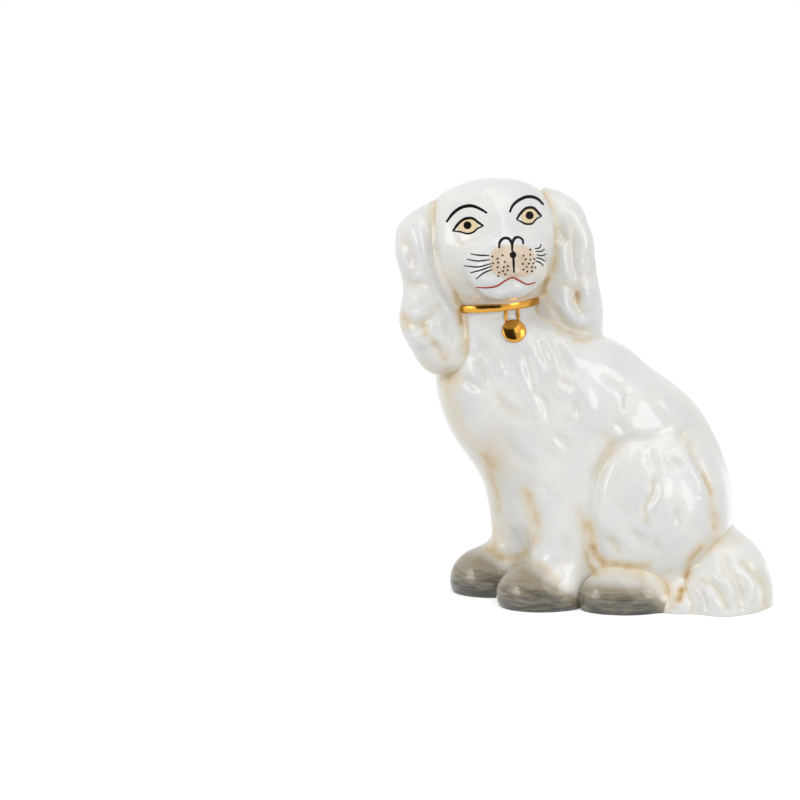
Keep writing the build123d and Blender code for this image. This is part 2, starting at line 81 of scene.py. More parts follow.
# Modelling strokes in photo pixels: half width, depth in mm (below 0 cuts in), share of brown wash (partly real stain,
# partly painted shade in recesses), the line.
MARKS: tuple[Stroke, ...] = (
    # head
    (9, -0.9, 0, ((450, 231), (467.5, 224), (484, 225))),
    (9, -0.9, 0, ((515, 220), (530, 214.5), (543, 215))),
    (9, 0.9, 0, ((500, 207.5), (502.5, 222.5), (505.5, 237.5))),
    (5, -0.5, 0.06, ((489.5, 223), (485, 233.8), (478, 247.5))),
    (5, -0.5, 0.05, ((516.2, 221.2), (520, 227.5), (530, 235.5))),
    (7, 0.7, 0, ((475, 252.5), (490, 247.5), (500, 246.2))),
    (10, 0.9, 0, ((495, 265), (501.2, 267.5))),
    (10, 0.9, 0, ((530, 261.2), (525, 265))),
    (3, -0.7, 0, ((476.2, 289), (497.5, 288), (512.5, 280), (527.5, 286), (536.2, 283.5))),
    (6, 0.7, 0, ((490, 295), (510, 293), (530, 290))),
    (4, -0.6, 0.22, ((465, 301.2), (490, 304), (515, 302), (539, 294.5))),
    (10, 0, 0.16, ((452.5, 275), (462.5, 300))),
    (12, 0, 0.22, ((545.5, 272.5), (543, 287.5))),
    (12, 0, 0.1, ((455.5, 240), (461.2, 247.5))),
    (5, 0.5, 0, ((470, 200), (481, 191), (494, 188), (505, 193))),
    (5, 0.5, 0, ((509, 191), (520, 184), (533, 187))),
    (4, -0.5, 0.06, ((455, 238), (466, 241), (478, 237))),
    (4, -0.5, 0.05, ((521, 229), (531, 229), (540, 223))),
    (5, -0.5, 0.1, ((447, 255), (455, 271), (466, 284))),
    # right ear
    (4, -1.5, 0.1, ((427.5, 218.8), (430, 240), (434.5, 265), (443.8, 290), (452, 305))),
    (8, 1.3, 0, ((415, 220), (417.5, 240), (415, 260))),
    (8, 1.4, 0, ((418, 290), (417.5, 310))),
    (8, 1.4, 0, ((418.8, 330), (421.2, 350))),
    (8, 1.2, 0, ((437.5, 247.5), (442.5, 275), (450, 300))),
    (5, -1.2, 0.22, ((407.5, 240), (411, 255), (413, 270))),
    (4, -1.3, 0.2, ((405, 278.8), (413.8, 285), (427.5, 282.5))),
    (4, -1.3, 0.26, ((405, 317.5), (415, 325), (427.5, 320), (437.5, 305))),
    (4, -1.3, 0.45, ((422.5, 325), (426.2, 333))),
    (4, -1.3, 0.45, ((433, 341.2), (438.8, 350), (444.5, 358.8))),
    (4, -0.9, 0.14, ((443.8, 317.5), (448.8, 335), (449.5, 355))),
    (8, 0, 0.28, ((420, 365), (437.5, 373.8), (452.5, 372))),
    (5, 0, 0.4, ((403, 315), (406.5, 327.5))),
    (6, 0, 0.16, ((432.5, 207.5), (434, 225))),
    (3.5, 0, 0.9, ((455, 292), (458, 306), (461, 322))),
    (5, 0, 0.4, ((460, 318), (464, 335), (463, 352))),
    # left ear
    (4, -1.6, 0.22, ((560.5, 225), (562.5, 235), (568, 243))),
    (4, -1.4, 0.16, ((570.5, 221.2), (574.5, 240), (572, 260), (577, 277.5), (578, 290))),
    (2.4, -1.7, 1, ((578, 293), (579, 301))),
    (4, -1.4, 0.3, ((565, 282.5), (572, 290), (573.8, 300), (582.5, 312.5))),
    (7, 1.3, 0, ((580, 222.5), (586.2, 240), (587.5, 260))),
    (7, 1.2, 0, ((562.5, 250), (566.2, 265), (562.5, 280))),
    (7, 1.2, 0, ((586.2, 275), (588.8, 295), (592.5, 312.5))),
    (7, 1.2, 0, ((560, 297.5), (567.5, 312.5), (576.2, 325))),
    (4, -1.2, 0.3, ((552.5, 305), (562.5, 320), (575, 330), (587.5, 328.8))),
    (4, -1.1, 0.2, ((590, 255), (592, 265), (590, 275))),
    (5, 0, 0.3, ((552.5, 240), (555, 257.5), (552, 270))),
    (3.2, 0, 0.95, ((548, 279), (545, 284), (544, 291))),
    (4, 0, 0.3, ((547.5, 295), (550, 315), (560, 332.5))),
    (3.5, 0, 0.4, ((574, 340), (582, 341), (588, 339))),
    (6, 0, 0.16, ((546.2, 195), (551.2, 207.5))),
    # body
    (4, -1.2, 0.16, ((497.5, 396.2), (507.5, 408.8), (520, 417))),
    (4, -1.2, 0.06, ((476.2, 357.5), (483.8, 372.5), (488.8, 386.2))),
    (4, -1.1, 0.06, ((462.5, 377.5), (472.5, 383.8), (483, 391.2))),
    (5, 0.8, 0, ((500, 347.5), (510, 365), (512.5, 385))),
    (4, -1.4, 0.08, ((525, 355), (529, 370), (533.8, 391.2))),
    (4, -1.4, 0.08, ((539.5, 337.5), (543, 350), (550, 365))),
    (4, -1.3, 0.1, ((550, 337.5), (562.5, 357.5), (568, 373.8))),
    (3.5, -1, 0.12, ((558, 377.5), (563.8, 383), (570.5, 386))),
    (4, -1.4, 0.06, ((535, 391.2), (544.5, 403.8), (550.5, 423.8))),
    (4, -1.3, 0.06, ((573.8, 400), (578, 408.8), (580.5, 418))),
    (4, -0.8, 0.08, ((627.5, 396.2), (628, 405), (626, 412))),
    (4, -0.8, 0.05, ((616.2, 421.2), (621.2, 427.5), (623.8, 435))),
    (4, -1, 0.05, ((550, 430), (562.5, 442), (571.2, 447.5))),
    (5, -1.2, 0.04, ((483, 337), (492, 352), (505, 368))),
    (6, 1, 0, ((517, 345), (523, 372), (531, 396), (543, 420))),
    (6, 1, 0, ((556, 372), (566, 394), (570, 415))),
    (5, 0.7, 0, ((540, 415), (550, 437.5), (565, 455))),
    (5, 0.7, 0, ((582.5, 385), (590, 405), (592.5, 425))),
    (5, -0.6, 0.05, ((605, 372.5), (622.5, 385), (640, 402.5))),
    (5, -0.6, 0.05, ((650, 390), (665, 410), (680, 430))),
    (5, 0.6, 0, ((630, 370), (655, 390), (672.5, 415))),
    (4, -0.7, 0.05, ((507.5, 437.5), (515, 452.5), (530, 465))),
    (5, -0.9, 0.2, ((602, 433.8), (608.8, 440), (610, 452.5))),
    (4.5, -1.5, 0.1, ((668, 432), (650, 439.5), (627.5, 441.5), (611.2, 454.5), (599, 473.8),
        (593.8, 497.5), (591.5, 520), (596.5, 540), (602.5, 557.5))),
    (10, 1.1, 0, ((640, 452.5), (622.5, 465), (610, 487.5), (605, 512.5))),
    (4.5, -1.6, 0.26, ((687, 437.5), (694.5, 456.2), (704.5, 472), (711, 487.5), (712.5, 506.2))),
    (5, 1, 0, ((677.5, 442.5), (686.2, 462.5), (697.5, 480), (702.5, 497.5))),
    (3.5, 0, 0.36, ((706, 474), (710, 485), (712, 493))),
    (4, -1.1, 0.08, ((653, 447.5), (651.2, 457.5), (655.5, 468.8))),
    (4, -1.3, 0.26, ((654, 478.8), (653, 492.5), (645.5, 507), (646.5, 521.2))),
    (5, 0.8, 0, ((661.2, 475), (662.5, 492.5), (657.5, 507.5))),
    (4, -1, 0.14, ((677.5, 507.5), (678.8, 526.2))),
    (4, -1, 0.4, ((714.5, 514.5), (715.5, 528))),
    (4, -1, 0.1, ((668, 457), (673.8, 463.8), (680, 460))),
    (4, -0.9, 0.1, ((685, 430.5), (680, 437.5), (677.5, 443.8))),
    (4, -0.9, 0.1, ((632, 529.5), (637.5, 538), (643, 546.2))),
    (4, -0.9, 0.14, ((654.5, 540), (658, 548.8), (662, 556.2))),
    (4, -0.9, 0.28, ((608, 536.2), (612.5, 543.8), (618, 550.5))),
    (3.5, 0, 0.95, ((593, 546), (598, 557), (603, 564))),
    (4, 0, 0.5, ((602.5, 560), (625, 564.5), (648.8, 565.5))),
    (6, 0, 0.3, ((612.5, 442.5), (602.5, 460), (597, 475))),
    (5, 0, 0.36, ((590, 525), (593, 545))),
    (9, 0, 0.38, ((446.5, 385), (451.5, 402.5), (457.5, 425))),
    (8, 0, 0.24, ((465, 436.2), (477.5, 447.5), (491.2, 462.5))),
    (14, 0, 0.13, ((497.5, 435), (507.5, 462.5), (525, 480))),
    (8, 0, 0.34, ((446.5, 376.2), (455, 380))),
    (5, 0, 0.1, ((562, 338), (578, 343), (592, 341))),
    (8, 0, 0.24, ((713.8, 515), (717.5, 532.5), (712.5, 545))),
    (4.5, 0, 0.4, ((700, 546), (691, 558), (686, 575))),
    (3.5, 0, 0.95, ((681, 590), (679, 599))),
    (6, 0, 0.16, ((670, 575), (673, 605))),
    (6, 0, 0.28, ((526, 490), (535, 515), (538, 540))),
    (6, 0, 0.24, ((577.5, 510), (587.5, 535), (590, 555))),
    (14, 0, 0.07, ((685, 390), (707.5, 425), (725, 465))),
    (14, 0, 0.06, ((622.5, 412.5), (630, 430))),
    # right foreleg
    (12, 0, 0.26, ((487, 450), (497, 500), (500, 545))),
    (3.5, 0, 0.38, ((492, 476), (496, 490), (499, 510))),
    (8, 0, 0.22, ((486.2, 457.5), (490, 472.5))),
    (5, 0, 0.28, ((522, 490), (528, 515), (529, 540))),
    (5, 0, 0.26, ((490, 525), (495, 547.5))),
    (6, 0.6, 0, ((507.5, 500), (510.5, 520), (510, 540))),
    (5, 0, 0.5, ((487, 549), (502, 558), (516, 558), (526, 552))),
    # left foreleg
    (5, 0, 0.3, ((530, 495), (537, 520), (533, 545))),
    (5, 0, 0.45, ((516, 566), (530, 562), (545, 569), (556, 580))),
    (6, 0, 0.22, ((582.5, 520), (586.2, 542.5))),
    (7, 0.6, 0, ((552.5, 502.5), (556.2, 527.5), (557, 550))),
    (4, 0, 0.4, ((585, 552), (590, 565))),
    (5, -0.5, 0.12, ((565, 535), (568, 555), (565, 570))),
    # left hind foot
    (3.5, 0, 0.6, ((592, 568), (596, 575))),
    (6, 0, 0.3, ((605, 572.5), (622.5, 575), (640, 575))),
    (6, 0, 0.26, ((642.5, 577.5), (652.5, 590))),
    (9, 0, 0.3, ((662.5, 585), (667.5, 605))),
    # tail
    (4.5, -1.9, 0.36, ((743, 562.5), (755.5, 573.8), (766.2, 590), (765, 606.2))),
    (6, 1.3, 0, ((750, 557.5), (765, 575), (772.5, 595))),
    (4, -1.5, 0.22, ((731.2, 573.8), (740, 588.8), (740.5, 606.2))),
    (5, 1.2, 0, ((737.5, 565), (750, 585), (752.5, 605))),
    (4, -1.6, 0.3, ((703.8, 578.8), (717.5, 588.8), (726.2, 607.5))),
    (5, 1.1, 0, ((715, 570), (725, 582.5), (732.5, 600))),
    (4, -1.2, 0.16, ((722.5, 555), (726.2, 567.5), (722.5, 577.5))),
    (4, -1, 0.14, ((696.2, 587.5), (702.5, 600), (705.5, 612.5))),
    (4, -1, 0.16, ((756.5, 555), (767.5, 570), (772.5, 587.5))),
    (4, 0, 0.4, ((702, 548), (691, 560), (686, 575))),
    (3.5, 0, 0.75, ((683, 590), (680, 599))),
    (9, 0, 0.2, ((710, 543.8), (725, 540), (737.5, 538.8))),
    (7, 0, 0.2, ((760, 610), (771.2, 605))),
)
# Painted lines: half width and the line. Spots: their radius and their places.
BROWS: tuple[Ribbon, ...] = (
    (1.6, ((446.2, 222), (452.5, 213.8), (462.5, 207.2), (472.5, 206.2), (481.2, 209.5), (487, 213.2))),
    (1.6, ((509.5, 212.8), (512.5, 206), (520, 199.5), (528.8, 196.8), (537.5, 198.8), (543.8, 204.5))),
)
EYE_RIMS: tuple[Ribbon, ...] = (
    (1.55, ((452.5, 230.8), (458, 223), (465, 218.2), (472.5, 218), (477.5, 221.5), (483.2, 225.5))),
    (1.05, ((452.5, 230.8), (460, 231.5), (466.5, 233.2), (472.5, 232), (477.5, 227.8), (483.2, 225.5))),
    (1.55, ((516.8, 219.2), (521.2, 212.5), (527.5, 207.5), (534.2, 207.5), (538.2, 211.2), (541.8, 216))),
    (1.05, ((516.8, 219.2), (521.2, 220.5), (526.5, 223), (532.5, 223), (537.5, 218.2), (541.8, 216))),
)
NOSE_LINES: tuple[Ribbon, ...] = (
    (1.5, ((499.2, 249), (500, 243), (504.2, 239.2), (508.8, 239.8), (511.5, 243.8), (512.2, 251.2))),
    (1.5, ((512.2, 247.5), (513, 241.5), (515.8, 238), (519.2, 237.5), (522.2, 239.8), (523.2, 244.5))),
    (1.25, ((513, 251.2), (513.5, 262.5), (513.8, 272.5))),
)
WHISKERS: tuple[Ribbon, ...] = tuple(
    (0.75, line)
    for line in (
        ((489.5, 256.2), (480, 255.8), (471.2, 254.2)),
        ((490, 260), (477.5, 261.2), (467.5, 259.5)),
        ((491.2, 263.8), (477.5, 267), (464.5, 265.8)),
        ((492, 266.2), (481.2, 270), (470.5, 272.8)),
        ((492.5, 269.5), (483.8, 273), (476.2, 279)),
        ((534.5, 249), (539.5, 247.8), (540.8, 244.2)),
        ((535.5, 251.5), (541, 251.5), (544.5, 249)),
        ((536.2, 254.8), (542, 255.8), (546.2, 253.8)),
        ((536, 257.8), (541.5, 259.2), (544.8, 261.5)),
        ((535, 261), (540, 262.8), (543.2, 265.8)),
    )
)
MOUTH_LINES: tuple[Ribbon, ...] = (
    (1.05, ((476.2, 287.5), (487.5, 288.2), (497.5, 286.2), (505.5, 281), (512.5, 278), (520, 281.2),
        (527.5, 284.5), (535.5, 282.5))),
)
EYE_FILLS: tuple[Line, ...] = (
    ((457, 228), (459, 223), (465, 219), (472, 218), (477, 222), (478, 225), (476, 229), (472, 232), (466, 233),
     (460, 231)),
    ((522, 216), (523, 212), (527, 208), (534, 208), (538, 212), (539, 215), (537, 219), (533, 223), (527, 223),
     (523, 220)),
)
PUPILS: Dots = (4.4, ((467, 224.7), (530.5, 214.6)))
NOSE_DOTS: Dots = (3.4, ((513, 255),))
FRECKLES: Dots = (1, ((492.5, 257), (497.5, 259), (502.5, 255.8), (493, 263.5), (498, 262.8),
        (504.5, 262), (497.5, 267.5), (503.8, 267.2), (507.8, 266.2), (499, 272.5), (503, 271.2),
        (507.5, 270.2), (498.2, 275.8), (505.2, 274.2), (523, 256.2), (530, 250), (530, 255),
        (525, 259.5), (530.2, 259.8), (534, 259.2), (522.5, 264), (528, 263.8), (533.2, 263.2),
        (523.2, 269.5), (526.5, 267), (531.2, 267), (535, 267.5), (527, 271.5), (531.5, 271.2)))
# Muzzle patch: middle and half sizes.
MUZZLE_PATCH: tuple[float, float, float, float] = (513, 261.5, 23.5, 17)


def smoothstep(low: float, high: float, value: Points) -> Points:
    """Soft step from 0 at low to 1 at high."""
    share = np.clip((value - low) / (high - low), 0.0, 1.0)
    return share * share * (3.0 - 2.0 * share)


def through(at: Points, knots: Points, values: Points) -> Points:
    """Smooth curve through knots: a cubic between each two knots, with slopes from the knots on both sides.

    Args:
        at: Places to read, of any shape.
        knots: Rising places of the knots, shape (n,).
        values: Values at the knots, shape (n, m).

    Returns:
        Values at those places, shape at.shape + (m,).
    """
    slopes = np.gradient(values, knots, axis=0)
    k = np.clip(np.searchsorted(knots, at) - 1, 0, len(knots) - 2)
    gap = (knots[k + 1] - knots[k])[..., None]
    t = np.clip((at - knots[k])[..., None] / gap, 0.0, 1.0)
    start = values[k] * (1.0 + 2.0 * t) * (1.0 - t) ** 2 + slopes[k] * gap * t * (1.0 - t) ** 2
    end = values[k + 1] * t * t * (3.0 - 2.0 * t) + slopes[k + 1] * gap * t * t * (t - 1.0)
    return start + end


def smooth_line(line: Points, spacing: float, closed: bool = False) -> Points:
    """Even samples along a smooth curve through a traced line.

    Args:
        line: Traced points, shape (n, 2).
        spacing: Distance between samples.
        closed: Whether the last point runs on to the first.

    Returns:
        Samples, shape (m, 2).
    """
    if closed:
        line = np.concatenate([line[-2:], line, line[:3]])
    run = np.concatenate([[0.0], np.cumsum(np.linalg.norm(np.diff(line, axis=0), axis=1))])
    first, last = (run[2], run[-3]) if closed else (run[0], run[-1])
    count = max(3, math.ceil((last - first) / spacing) + 1)
    return through(np.linspace(first, last, count, endpoint=not closed), run, line)


def add_object(name: str, data: bpy.types.ID) -> bpy.types.Object:
    """Puts an object of a mesh, lamp or camera in the scene."""
    made = bpy.data.objects.new(name, data)
    bpy.context.collection.objects.link(made)
    return made


class Form(Protocol):
    """A solid form given by its distance: below 0 inside, above 0 outside."""

    def distance(self, points: Points) -> Points:
        """Signed distance of each point, in mm."""


@dataclass(frozen=True)
class Ellipsoid:
    """An egg form: the distance is how far the scaled radius is from 1, over its slope."""

    centre: Xyz
    radii: Xyz

    def distance(self, points: Points) -> Points:
        """Signed distance of each point, in mm."""
        radii = np.array(self.radii)
        scaled = (points - np.array(self.centre)) / radii
        size = np.linalg.norm(scaled, axis=-1)
        slope = np.linalg.norm(scaled / radii, axis=-1) / np.maximum(size, 1e-6)
        return (size - 1.0) / np.maximum(slope, 1.0 / radii.max())


@dataclass(frozen=True)
class OvalStack:
    """A form of ovals along one axis. A station is: place, centre a, centre b, radius a, radius b."""

    axis: int
    stations: tuple[Oval, ...]

    def spine(self, at: Points) -> Points:
        """Centre and radii of the oval at each place, shape at.shape + (4,). The squares of the radii run smoothly."""
        table = np.array(self.stations)
        oval = through(at, table[:, 0], np.column_stack([table[:, 1:3], table[:, 3:] ** 2]))
        oval[..., 2:] = np.sqrt(np.maximum(oval[..., 2:], 0.0))
        return oval

    def distance(self, points: Points) -> Points:
        """Signed distance of each point, in mm."""
        a, b = [k for k in range(3) if k != self.axis]
        along = points[..., self.axis]
        oval = self.spine(along)
        radii = np.maximum(oval[..., 2:], 0.3)
        scaled = (points[..., (a, b)] - oval[..., :2]) / radii
        size = np.linalg.norm(scaled, axis=-1)
        slope = np.linalg.norm(scaled / radii, axis=-1) / np.maximum(size, 1e-6)
        side = (size - 1.0) / np.maximum(slope, 1.0 / radii.max(axis=-1))
        beyond = np.maximum(self.stations[0][0] - along, along - self.stations[-1][0])
        return np.maximum(side, beyond)


@dataclass(frozen=True)
class Placed:
    """A form in a frame of its own: points are turned back into that frame first."""

    form: Form
    origin: Points
    axes: Points

    def distance(self, points: Points) -> Points:
        """Signed distance of each point, in mm."""
        return self.form.distance((points - self.origin) @ self.axes.T)


@dataclass(frozen=True)
class Merged:
    """Forms that run into each other: the least distance, lowered by a quarter of the fillet where two are equal."""

    forms: tuple[Form, ...]
    fillet: float

    def distance(self, points: Points) -> Points:
        """Signed distance of each point, in mm."""
        least = self.forms[0].distance(points)
        for form in self.forms[1:]:
            other = form.distance(points)
            near = np.maximum(self.fillet - np.abs(least - other), 0.0) / self.fillet
            least = np.minimum(least, other) - near * near * self.fillet / 4.0
        return least


@dataclass(frozen=True)
class Luted:
    """A form with a slip fillet against its neighbours, which sinks under their skins as it leaves the form."""

    own: Form
    neighbours: tuple[Form, ...]
    fillet: float
    dive: float

    def distance(self, points: Points, beyond: Points) -> Points:
        """Distance with the fillet: the least of own and sunk neighbour, lowered where the two are near equal.

        Args:
            points: Points in mm, last axis 3.
            beyond: How far past the form's own skin each point is, in mm.

        Returns:
            Signed distance of each point, in mm.
        """
        own = self.own.distance(points)
        other = np.min([form.distance(points) for form in self.neighbours], axis=0)
        other = other + UNDER_SKIN + self.dive * beyond
        near = np.maximum(self.fillet - np.abs(own - other), 0.0) / self.fillet
        return np.minimum(own, other) - near * near * self.fillet / 4.0


@dataclass(frozen=True)
class Tucked:
    """A form that sinks past a level, by a share of the square of the way past it, and is cut flat at its depth."""

    form: Form
    level: float
    sign: float
    sink: float = 0.25
    depth: float = 4.0

    def distance(self, points: Points) -> Points:
        """Signed distance of each point, in mm."""
        past = self.sign * (points[..., 2] - self.level)
        sunk = self.form.distance(points) + self.sink * np.maximum(past, 0.0) ** 2
        return np.maximum(sunk, past - self.depth)


@dataclass(frozen=True)
class Viewpoint:
    """The photo's camera: it looks down a little at the middle of the picture, and the dog stands right of it."""

    aim: Xyz = (-95.0, 0.0, 100.3)
    distance: float = 1300.0
    tilt: float = math.radians(9.0)
    mm_per_pixel: float = 0.51
    picture: float = 800.0
    sensor: float = 36.0

    @property
    def up(self) -> Points:
        """Up direction of the picture."""
        return np.array([0.0, math.sin(self.tilt), math.cos(self.tilt)])

    @property
    def back(self) -> Points:
        """Direction from the aim to the camera."""
        return np.array([0.0, -math.cos(self.tilt), math.sin(self.tilt)])

    @property
    def place(self) -> Points:
        """Where the camera stands."""
        return np.array(self.aim) + self.distance * self.back

    @property
    def focal(self) -> float:
        """Focal length in pixels."""
        return self.distance / self.mm_per_pixel

    def pixels(self, points: Points) -> Points:
        """Photo pixel of each point."""
        away = points - np.array(self.aim)
        depth = self.distance - away @ self.back
        across = self.focal * away[..., 0] / depth
        rise = self.focal * (away @ self.up) / depth
        return np.stack([self.picture / 2 + across, self.picture / 2 - rise], axis=-1)

    def rays(self, pixels: Points) -> Points:
        """Direction from the camera through each photo pixel."""
        across = pixels[..., :1] - self.picture / 2
        rise = self.picture / 2 - pixels[..., 1:]
        way = across * np.array([1.0, 0.0, 0.0]) + rise * self.up - self.focal * self.back
        return way / np.linalg.norm(way, axis=-1, keepdims=True)

    def build(self) -> None:
        """Adds the camera and makes it the scene's own."""
        data = bpy.data.cameras.new("photo_camera")
        data.sensor_width = self.sensor
        data.lens = self.sensor * self.focal / self.picture
        data.clip_end = 20.0
        camera = add_object("photo_camera", data)
        turn = Matrix((Vector((1, 0, 0)), Vector(self.up), Vector(self.back))).transposed().to_4x4()
        camera.matrix_world = Matrix.Translation(Vector(self.place * MM)) @ turn
        bpy.context.scene.camera = camera


VIEW = Viewpoint()


@dataclass(frozen=True)
class Relief:
    """The modeller's strokes: soft grooves and ridges, with brown wash laid in them, partly real stain and partly
    painted shade.

    Margin and lip place count in half widths. Facing is the cosine between which strokes fade in toward the camera.
    """

    strokes: tuple[Stroke, ...] = MARKS
    strength: float = 1.35
    breadth: float = 1.3
    taper: float = 0.6
    ends: Span = (0.04, 0.96)
    spacing: float = 0.4
    margin: float = 5.0
    wash_and_shade_share: float = 0.72
    lip: float = 0.25
    lip_place: float = 1.9
    facing: Span = (0.02, 0.35)

    def read(self, points: Points, normals: Points) -> tuple[Points, Points]:
        """Height and brown wash at each point, the wash partly painted shade: a bell across the line, with a low lip
        beside a groove.

        Args:
            points: Points on a skin, in mm, last axis 3.
            normals: Outward directions there.

        Returns:
            Height in mm and wash share, both faded out where the skin turns away from the camera.
        """
        spots = VIEW.pixels(points)
        toward = VIEW.place - points
        toward = toward / np.linalg.norm(toward, axis=-1, keepdims=True)
        fade = smoothstep(*self.facing, np.sum(toward * normals, axis=-1))
        height = np.zeros(fade.shape)
        untinted = np.ones(fade.shape)
        for width, depth, wash_and_shade, traced in self.strokes:
            line = smooth_line(np.array(traced), self.spacing)
            low, high = line.min(axis=0) - self.margin * width, line.max(axis=0) + self.margin * width
            close = np.all((spots > low) & (spots < high), axis=-1)
            gaps = np.linalg.norm(spots[close][:, None] - line[None], axis=-1)
            share = gaps.argmin(axis=1) / (len(line) - 1)
            gaps = gaps.min(axis=1) / width
            broad = gaps / self.breadth
            edge = self.lip * np.exp(-((broad - self.lip_place) ** 2)) if depth < 0 else 0.0
            taper = np.sin(math.pi * np.clip(share, *self.ends)) ** self.taper
            height[close] += self.strength * depth * taper * (np.exp(-broad * broad) - edge)
            untinted[close] *= 1.0 - self.wash_and_shade_share * wash_and_shade * np.exp(-gaps * gaps)
        return height * fade, (1.0 - untinted) * fade


RELIEF = Relief()


@dataclass(frozen=True)
class Rays:
    """A grid of rays: each row has its origin and its elevation, and the columns go round the axis."""

    origins: Points
    elevation: Points
    columns: int
    axes: Points = field(default_factory=lambda: np.eye(3))

    @property
    def directions(self) -> Points:
        """Unit direction of each ray, shape (rows, columns, 3)."""
        turn = np.linspace(0.0, 2.0 * math.pi, self.columns, endpoint=False)[:, None]
        level = np.cos(turn) * self.axes[0] + np.sin(turn) * self.axes[1]
        rise = self.elevation[:, None, None]
        return np.cos(rise) * level + np.sin(rise) * self.axes[2]

    def meet(self, form: Form) -> Points:
        """Distance along each ray to the form's skin, by halving."""
        ways = self.directions
        near = np.zeros(ways.shape[:2])
        far = near + LONG_REACH
        for _ in range(BISECTIONS):
            middle = (near + far) / 2.0
            inside = form.distance(self.origins[:, None] + middle[..., None] * ways) < 0.0
            near, far = np.where(inside, middle, near), np.where(inside, far, middle)
        return far

    def flare(self, luted: Luted, reach: Points, flare: float) -> Points:
        """Distance along each ray to the luted form's skin, by halving between its own skin and the flare.

        Args:
            luted: The form with its slip fillet.
            reach: Distance to the form's own skin along each ray.
            flare: How far past that skin the fillet may run, in mm.

        Returns:
            Distance along each ray, in mm.
        """
        ways = self.directions
        near, far = reach, reach + flare
        for _ in range(BISECTIONS):
            middle = (near + far) / 2.0
            points = self.origins[:, None] + middle[..., None] * ways
            inside = luted.distance(points, middle - reach) < 0.0
            near, far = np.where(inside, middle, near), np.where(inside, far, middle)
        return far

    def points(self, reach: Points) -> Points:
        """Points at that distance along each ray."""
        return self.origins[:, None] + reach[..., None] * self.directions


def grid_normals(points: Points) -> Points:
    """Outward normals of a grid that closes round its columns."""
    along = np.gradient(points, axis=0)
    around = np.roll(points, -1, axis=1) - np.roll(points, 1, axis=1)
    normals = np.cross(around, along)
    return normals / np.maximum(np.linalg.norm(normals, axis=-1, keepdims=True), 1e-9)


@dataclass
class Skin:
    """A closed mesh: a grid that closes round its columns, with a point that closes each end."""

    points: Points
    start: Points
    end: Points

    def corners(self, first: int) -> list[list[int]]:
        """Corner numbers of the faces, counted from the first vertex's number."""
        rows, columns = self.points.shape[:2]
        here = np.arange(columns)
        after = np.roll(here, -1)
        row = np.arange(rows - 1)[:, None] * columns
        quads = np.stack([row + here, row + after, row + after + columns, row + here + columns], axis=-1)
        top = (rows - 1) * columns
        pole = np.full(columns, rows * columns)
        fans = np.stack([[pole, after, here], [top + here, top + after, pole + 1]]).transpose(0, 2, 1)
        return (quads.reshape(-1, 4) + first).tolist() + (fans.reshape(-1, 3) + first).tolist()

    def vertices(self) -> Points:
        """Grid points, then the two end points."""
        return np.concatenate([self.points.reshape(-1, 3), [self.start], [self.end]])


def make_object(name: str, skins: list[Skin], layers: dict[str, Points] | None = None) -> bpy.types.Object:
    """Makes one object of closed skins, given in mm.

    Args:
        name: Name of the piece.
        skins: Its closed skins.
        layers: Values per vertex, for the finish to read.

    Returns:
        The object, at the origin and smooth.
    """
    vertices: list[Points] = []
    faces: list[list[int]] = []
    for skin in skins:
        faces += skin.corners(sum(map(len, vertices)))
        vertices.append(skin.vertices())
    mesh = bpy.data.meshes.new(name)
    mesh.from_pydata((np.concatenate(vertices) * MM).tolist(), [], faces)
    mesh.polygons.foreach_set("use_smooth", np.ones(len(faces), dtype=bool))
    for layer, values in (layers or {}).items():
        mesh.attributes.new(layer, "FLOAT", "POINT").data.foreach_set("value", values)
    mesh.update()
    made = add_object(name, mesh)
    LOG.info("%s: %d vertices, %d faces", name, len(mesh.vertices), len(faces))
    return made


class Slot(Enum):
    """Material slots of the record."""

    WHITE = "glazed_white"
    PAWS = "glazed_grey_paws"
    GOLD = "gold_lustre"


def frame_shift() -> Points:
    """Shift from the modelling frame to the part's frame, read from the CAD slab."""
    low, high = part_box("base_slab")
    middle = (np.array(low) + np.array(high)) / 2.0 / MM
    return np.array([middle[0] - SLAB_CENTRE[0], middle[1] - SLAB_CENTRE[1], 0.0])


SHIFT = frame_shift()


def shifted(x: float, y: float, z: float) -> Xyz:
    """A modelling point in the part's frame."""
    return x + SHIFT[0], y + SHIFT[1], z


def toe_paint(height: Points, edge: Points, deep: float, soft: Span) -> Points:
    """Share of grey paint on a foot: soft at its upper edge, and thicker toward the floor.

    Args:
        height: Height over the floor, in mm.
        edge: Height of the paint's upper edge.
        deep: Height where the paint is thinnest, in mm.
        soft: Where the edge starts and stops to fade, in mm from it.

    Returns:
        Share from 0 to 1.
    """
    thick = THIN_PAINT + (1.0 - THIN_PAINT) * (1.0 - smoothstep(0.0, deep, height))
    return thick * (1.0 - smoothstep(*soft, height - edge))


def upright(stations: tuple[Oval, ...]) -> OvalStack:
    """An upright stack, moved into the part's frame."""
    return OvalStack(2, tuple((z, x + SHIFT[0], y + SHIFT[1], a, b) for z, x, y, a, b in stations))


@dataclass(frozen=True)
class HeadFrame:
    """The head's own frame: turned to the viewer's right and rolled a little."""

    middle: Xyz = (-48.9, -8.15, 184.5)
    turn: float = math.radians(10.0)
    roll: float = math.radians(-6.0)

    @property
    def origin(self) -> Points:
        """Middle of the skull in the part's frame."""
        return np.array(shifted(*self.middle))

    @property
    def axes(self) -> Points:
        """Rows are the head's X, Y and Z directions in the part's frame."""
        turn = Matrix.Rotation(self.turn, 3, "Z") @ Matrix.Rotation(self.roll, 3, "Y")
        return np.array(turn.transposed())


HEAD = HeadFrame()


